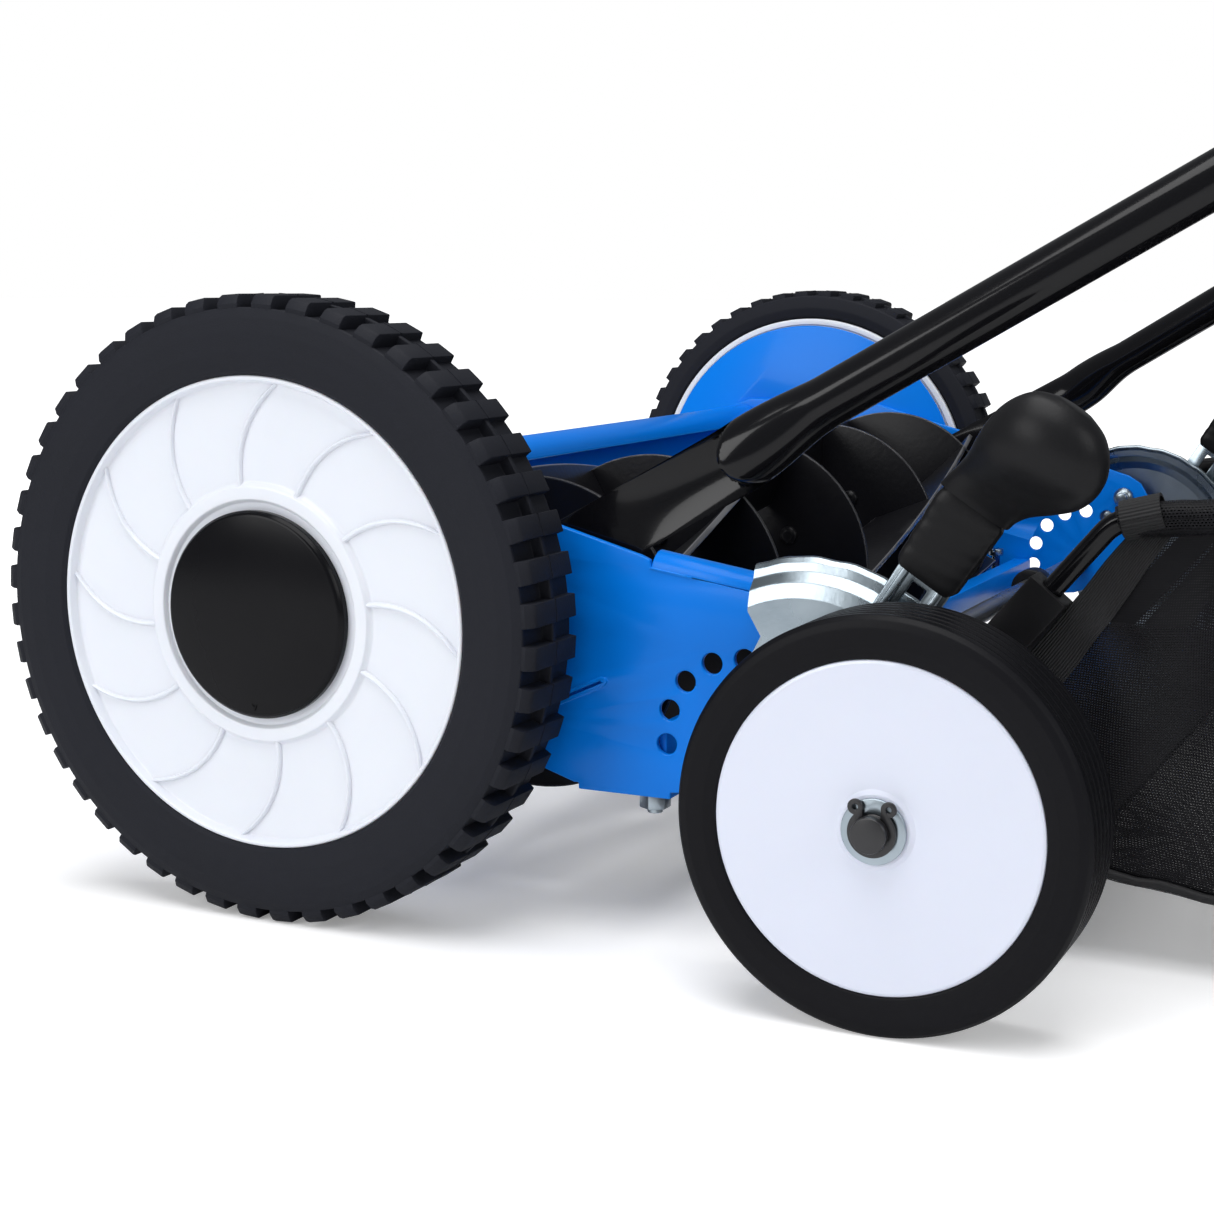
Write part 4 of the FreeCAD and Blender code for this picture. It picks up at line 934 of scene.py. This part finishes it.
def makeSleeve(name):
    rings = []
    for i in range(27):
        along = -1.2 + 31.4 * i / 26
        ends = min(i, 26 - i)
        shrink = 1 - 0.16 * max(0, 1 - ends / 3) ** 2
        wide = (11.7 + 1.0 * i / 26) * shrink
        deep = 4.75 * shrink
        ring = []
        for k in range(48):
            a = 2 * math.pi * k / 48
            c, s = math.cos(a), math.sin(a)
            u, v = bulged(c, 0.36), bulged(s, 0.36)
            crease = 0.14 * math.sin(along * 0.9 + 2 * u) * math.sin(3.1 * v + along * 0.33)
            ring.append(leverSpot(288.3 + v * (deep + crease), along, u * (wide + crease)))
        rings.append(ring)
    return lofted(name, rings)


def lofted(name, rings):
    n = len(rings[0])
    verts = [p * mm for ring in rings for p in ring]
    faces = around(len(rings), n)
    faces += [tuple(range(n)), tuple(range(len(verts) - 1, len(verts) - n - 1, -1))]
    return cleaned(newPiece(name, verts, faces))


def between(rings, steps):
    # smooth rows of numbers through the given ones
    out = []
    last = len(rings) - 1
    for i in range(last):
        p0, p1, p2, p3 = (rings[max(0, min(last, i + d))] for d in (-1, 0, 1, 2))
        for k in range(steps):
            t = k / steps
            out.append([0.5 * (2 * b + (c - a) * t + (2 * a - 5 * b + 4 * c - d) * t * t
                               + (3 * b - a - 3 * c + d) * t ** 3) for a, b, c, d in zip(p0, p1, p2, p3)])
    out.append(list(rings[-1]))
    return out


def makeKnob(name):
    rings = []
    for along, across, wide, deep, x, square in between(knobRings, 5):
        ring = []
        for k in range(56):
            a = 2 * math.pi * k / 56
            c, s = math.cos(a), math.sin(a)
            u, v = bulged(c, 2 / square), bulged(s, 2 / square)
            ring.append(leverSpot(x + v * deep, along, across + u * wide))
        rings.append(ring)
    first = rings[0]
    middle = sum(first, Vector()) / len(first)
    rings.insert(0, [middle + (p - middle) * 0.94 for p in first])
    return joinPieces(lofted(name, rings), [makeSleeve("sleeve")])


bothSides(makeDish, "adjusterDish", "adjuster", "zinc", "adjuster_dish", 40)
bothSides(makeLever, "adjusterLever", "adjuster", "zinc", "adjuster_lever", 40)
bothSides(makeKnob, "adjusterKnob", "adjuster", "satin_black_plastic", "adjuster_knob", 50)
for side in ("_left", "_right"):
    for node, name, width, body, slot in (
            ("rear_axle", "rearAxle", 0.5, "adjuster", "black_steel"),
            ("axle_washer", "axleWasher", 0.3, "adjuster", "zinc"),
            ("axle_circlip", "axleCirclip", 0.2, "adjuster", "black_steel"),
            ("detent_pin", "detentPin", 0.4, "pin", "zinc")):
        placed(softened(node + side, name + side, width * mm), body + side, slot, [node + side])
print("adjusters built")


def makeFrameBits():
    plain = {"tie_bar_bolts": ("zinc", 0.4), "bed_bar": ("blue_paint", 0.5), "bed_bolts": ("zinc", 0.4),
             "bed_adjusters": ("zinc", 0.3), "rod_nuts": ("zinc", 0.5), "guide_bolts": ("zinc", 0.4),
             "handle_pivots": ("zinc", 0.5), "bed_knife": ("steel", 0.15),
             "front_tie_bar": ("blue_paint", 0.5)}
    for node, (slot, width) in plain.items():
        placed(softened(node, node + "Soft", width * mm), "frame", slot, [node])
    for side in ("_left", "_right"):
        for node, name, width in (("side_plate", "sidePlate", 0.5), ("gear_cover", "gearCover", 0.6)):
            placed(softened(node + side, name + side, width * mm, 3), "frame", "blue_paint", [node + side])


makeFrameBits()
print("frame built")


wireSize = {"rad": 4.0, "low": (240, 212, 52), "top": (240, 305, 163.5), "rear": (230, 600, 190), "bend": 16}
bagSize = {"half": 238.0, "columns": 60, "sideRows": 24, "acrossRows": 52, "slack": 0.035, "frames": 26,
           "sag": 7.0}
wirePoints = [Vector(wireSize[k]) for k in ("low", "top", "rear")]
wirePoints += [Vector((-p.x, p.y, p.z)) for p in wirePoints[::-1]]
wirePath = roundedPath(wirePoints, wireSize["bend"], 4)


def gridPiece(name, rows):
    # sheet of quads through rows of points, with a UV map in metres along and across
    cols = len(rows[0])
    verts = [p * mm for row in rows for p in row]
    faces = []
    for i in range(len(rows) - 1):
        for k in range(cols - 1):
            a = i * cols + k
            faces.append((a, a + 1, a + 1 + cols, a + cols))
    piece = newPiece(name, verts, faces)
    along = [0.0]
    for i in range(1, len(rows)):
        along.append(along[-1] + max((rows[i][k] - rows[i - 1][k]).length for k in range(0, cols, 4)) * mm)
    middle = rows[len(rows) // 3]
    across = [0.0]
    for k in range(1, cols):
        across.append(across[-1] + (middle[k] - middle[k - 1]).length * mm)
    layer = piece.data.uv_layers.new(name="UVMap")
    for loop in piece.data.loops:
        i, k = divmod(loop.vertex_index, cols)
        layer.data[loop.index].uv = (along[i], across[k])
    return piece


def pathAt(points, share):
    # the point a share of the way along a run of (y, z) points
    lengths = [math.dist(points[i], points[i + 1]) for i in range(len(points) - 1)]
    left = share * sum(lengths)
    for i, length in enumerate(lengths):
        if left <= length or i == len(lengths) - 1:
            t = left / length
            return Vector((0, points[i][0] + (points[i + 1][0] - points[i][0]) * t,
                           points[i][1] + (points[i + 1][1] - points[i][1]) * t))
        left -= length


def bagRows():
    b = bagSize
    topEdge = [(311, 159.6), (598, 185)]
    lowEdge = [(219, 40.5), (300, 36), (344, 31), (480, 37), (545, 44), (580, 60), (596, 100), (598, 185)]
    frontEdge = [(311, 159.6), (303, 150), (290.6, 132.2), (219, 40.5)]
    rows = []
    for i in range(b["columns"] + 1):
        a = i / b["columns"]
        top, low = pathAt(topEdge, a), pathAt(lowEdge, a)
        side = []
        for k in range(b["sideRows"] + 1):
            t = k / b["sideRows"]
            bow = pathAt(frontEdge, t) - (pathAt(topEdge, 0) * (1 - t) + pathAt(lowEdge, 0) * t)
            side.append(top * (1 - t) + low * t + bow * (1 - a) ** 3)
        row = [p + Vector((b["half"] - 8 * a * (1 - k / b["sideRows"]), 0, 0)) for k, p in enumerate(side)]
        for k in range(1, b["acrossRows"]):
            x = b["half"] * (1 - 2 * k / b["acrossRows"])
            row.append(Vector((x, side[-1].y, side[-1].z)))
        row += [Vector((-p.x, p.y, p.z)) for p in row[:b["sideRows"] + 1][::-1]]
        rows.append(row)
    return rows


def makeBag(name):
    b = bagSize
    rows = bagRows()
    bag = gridPiece(name, rows)
    cols = len(rows[0])
    held = bag.vertex_groups.new(name="held")
    for i in range(len(rows)):
        for k in range(cols):
            if i == 0 or i == len(rows) - 1 or k == 0 or k == cols - 1:
                held.add([i * cols + k], 1.0, "REPLACE")
    mod = bag.modifiers.new("hang", "CLOTH")
    cloth = mod.settings
    cloth.quality = 6
    cloth.mass = 0.12
    cloth.tension_stiffness = 18
    cloth.compression_stiffness = 12
    cloth.shear_stiffness = 6
    cloth.bending_stiffness = 0.12
    cloth.shrink_min = -b["slack"]
    cloth.vertex_group_mass = "held"
    mod.collision_settings.use_collision = False
    mod.collision_settings.use_self_collision = False
    mod.point_cache.frame_start = 1
    mod.point_cache.frame_end = b["frames"]
    for step in range(1, b["frames"] + 1):
        bpy.context.scene.frame_set(step)
    before = [v.co.copy() for v in bag.data.vertices]
    applied(bag)
    bpy.context.scene.frame_set(1)
    # the lining and seams stop the cloth from moving further than the sag
    most = b["sag"] * mm
    for v, start in zip(bag.data.vertices, before):
        moved = v.co - start
        if moved.length > 1e-7:
            v.co = start + moved * (most * math.tanh(moved.length / most) / moved.length)
    spots = [v.co / mm for v in bag.data.vertices]
    return bag, [spots[i * cols:(i + 1) * cols] for i in range(len(rows))]


def thick(piece, wall, subdivide=0):
    if subdivide:
        more = piece.modifiers.new("finer", "SUBSURF")
        more.levels = subdivide
        more.render_levels = subdivide
    mod = piece.modifiers.new("wall", "SOLIDIFY")
    mod.thickness = wall
    mod.offset = 0
    return applied(piece)


def makeBinding(rows):
    # tape folded over the front edge of each side of the bag
    side = bagSize["sideRows"]
    strips = []
    for flip in (False, True):
        grid = []
        for k in range(side + 3):
            line = []
            for i in range(4):
                spot = rows[i][-1 - k] if flip else rows[i][k]
                line.append(spot + Vector((-0.4 if flip else 0.4, -0.6 if i == 0 else 0, 0)))
            grid.append(line)
        if flip:
            grid = [line[::-1] for line in grid]
        strips.append(thick(gridPiece("tapeStrip", grid), 2.0 * mm, 1))
    return joinPieces(strips[0], strips[1:])


def makeHemSleeve(name):
    # the cloth is turned over the wire along the top of the bag
    path = [p for p in wirePath if p.y > 306]
    full = []
    for i in range(len(path) - 1):
        pieces = max(1, int((path[i + 1] - path[i]).length / 5))
        full += [path[i].lerp(path[i + 1], k / pieces) for k in range(pieces)]
    full.append(path[-1])
    rings = []
    travelled = 0
    for i, p in enumerate(full):
        ahead = (full[min(i + 1, len(full) - 1)] - full[max(i - 1, 0)]).normalized()
        side = ahead.cross(Vector((0, 0, 1))).normalized()
        up = side.cross(ahead)
        travelled += (p - full[i - 1]).length if i else 0
        ring = []
        for k in range(17):
            a = 2 * math.pi * k / 16
            wrinkle = (0.25 * math.sin(travelled * 0.31 + 3 * math.sin(a))
                       + 0.2 * math.sin(travelled * 0.87 + 2 * a))
            r = 5.3 + wrinkle * 0.8 + (1.4 if math.sin(a) < -0.7 else 0)
            ring.append(p + side * (r * math.cos(a)) + up * (r * math.sin(a)))
        rings.append(ring)
    return thick(gridPiece(name, rings), 0.5 * mm)


def makeCornerTape():
    # ribbed tape round the front end of the turned-over cloth
    path = [p for p in wirePath if 306 < p.y < 330 and p.x > 0]
    start = path[0]
    ahead = (path[-1] - path[0]).normalized()
    side = ahead.cross(Vector((0, 0, 1))).normalized()
    up = side.cross(ahead)
    rings = []
    for i in range(15):
        p = start + ahead * (1.0 + i)
        rings.append(circle(p, side, up, 6.5, 24, 25))
    tape = thick(gridPiece("cornerTape", rings), 1.0 * mm)
    return joinPieces(tape, [mirroredCopy(tape, "cornerTapeOther")])


def makeSeams(rows):
    # corded seams along both bottom corners
    side = bagSize["sideRows"]
    pieces = []
    for k in (side, side + bagSize["acrossRows"]):
        path = [row[k] for row in rows[:-1]]
        pieces.append(swept("seamCord", path, tubeSection(path, 1.7, 10)))
    return joinPieces(pieces[0], pieces[1:])


wire = swept("catcherWire", wirePath, tubeSection(wirePath, wireSize["rad"], 24))
placed(wire, "catcher", "black_paint", ["catcher_frame"], 60)
placed(softened("catcher_tray", "catcherTray", 0.5 * mm), "catcher", "satin_black_plastic", ["catcher_tray"])
bag, hung = makeBag("catcherBag")
placed(makeBinding(hung), "catcher", "tape", [], 60)
placed(makeSeams(hung), "catcher", "tape", [], 60)
placed(makeHemSleeve("hemSleeve"), "catcher", "mesh_fabric", [], 60)
placed(makeCornerTape(), "catcher", "tape", [], 60)
thick(bag, 0.5 * mm, 1)
placed(bag, "catcher", "mesh_fabric", ["catcher_bag"], 80)
print("catcher built")


def makeFloor():
    floor = newPiece("floor", [(-30, -30, 0), (30, -30, 0), (30, 30, 0), (-30, 30, 0)], [(0, 1, 2, 3)])
    material, tree, make, shader = newMaterial("paleFloor")
    # away from the mower the floor fades into the white background
    where = make("ShaderNodeTexCoord").outputs["Object"]
    reach = make("ShaderNodeVectorMath", {0: where}, operation="LENGTH")
    fade = make("ShaderNodeMapRange", {
        "From Min": 0.35, "From Max": 1.1, "To Min": 0.25, "Value": reach.outputs["Value"]})
    cameraRay = make("ShaderNodeLightPath").outputs["Is Camera Ray"]
    feed(tree, shader, {
        "Base Color": (0.93, 0.93, 0.94, 1), "Roughness": 0.7, "Emission Color": (1, 1, 1, 1),
        "Emission Strength": calc(make, "MULTIPLY", fade.outputs[0], cameraRay)})
    floor.data.materials.append(material)


def softLight(name, place, aim, size, watts):
    data = bpy.data.lights.new(name, "AREA")
    data.shape = "RECTANGLE"
    data.size, data.size_y = size
    data.energy = watts
    lamp = bpy.data.objects.new(name, data)
    bpy.context.scene.collection.objects.link(lamp)
    lamp.location = place
    lamp.rotation_euler = (Vector(aim) - Vector(place)).to_track_quat("-Z", "Y").to_euler()


makeFloor()
softLight("topBox", (0.5, 0.2, 2.2), (0, 0.2, 0.1), (1.6, 2.4), 50)
softLight("sideBox", (2.2, -0.9, 1.1), (0.1, 0.1, 0.12), (1.2, 1.4), 24)
softLight("rearBox", (0.9, 2.4, 1.3), (0.1, 0.2, 0.15), (1.2, 1.2), 14)
world = bpy.data.worlds.new("studio")
world.use_nodes = True
# the camera sees plain white, the mower is lit by a dimmer sky
sky = nodeMaker(world.node_tree)
dim = feed(world.node_tree, world.node_tree.nodes["Background"], {
    "Color": (0.93, 0.96, 1, 1), "Strength": 0.22})
bright = sky("ShaderNodeBackground", {"Color": (1, 1, 1, 1)})
either = sky("ShaderNodeMixShader", {
    0: sky("ShaderNodeLightPath").outputs["Is Camera Ray"], 1: dim.outputs[0], 2: bright.outputs[0]})
feed(world.node_tree, world.node_tree.nodes["World Output"], {0: either.outputs[0]})
bpy.context.scene.world = world
bpy.context.scene.view_settings.view_transform = "Standard"

eye = Vector((0.9368, 0.4486, 0.2423))
lookBack = Vector((0.891, 0.423, 0.167)).normalized()
lookRight = Vector((-0.429, 0.903, 0.0)).normalized()
lookUp = lookBack.cross(lookRight).normalized()
camera = bpy.data.objects.new("camera", bpy.data.cameras.new("camera"))
bpy.context.scene.collection.objects.link(camera)
camera.matrix_world = Matrix((
    (lookRight.x, lookUp.x, lookBack.x, eye.x), (lookRight.y, lookUp.y, lookBack.y, eye.y),
    (lookRight.z, lookUp.z, lookBack.z, eye.z), (0, 0, 0, 1)))
camera.data.sensor_width = 36
camera.data.lens = 59.89
camera.data.shift_x = -0.0146
camera.data.shift_y = 0.0181
bpy.context.scene.camera = camera
print("camera placed")
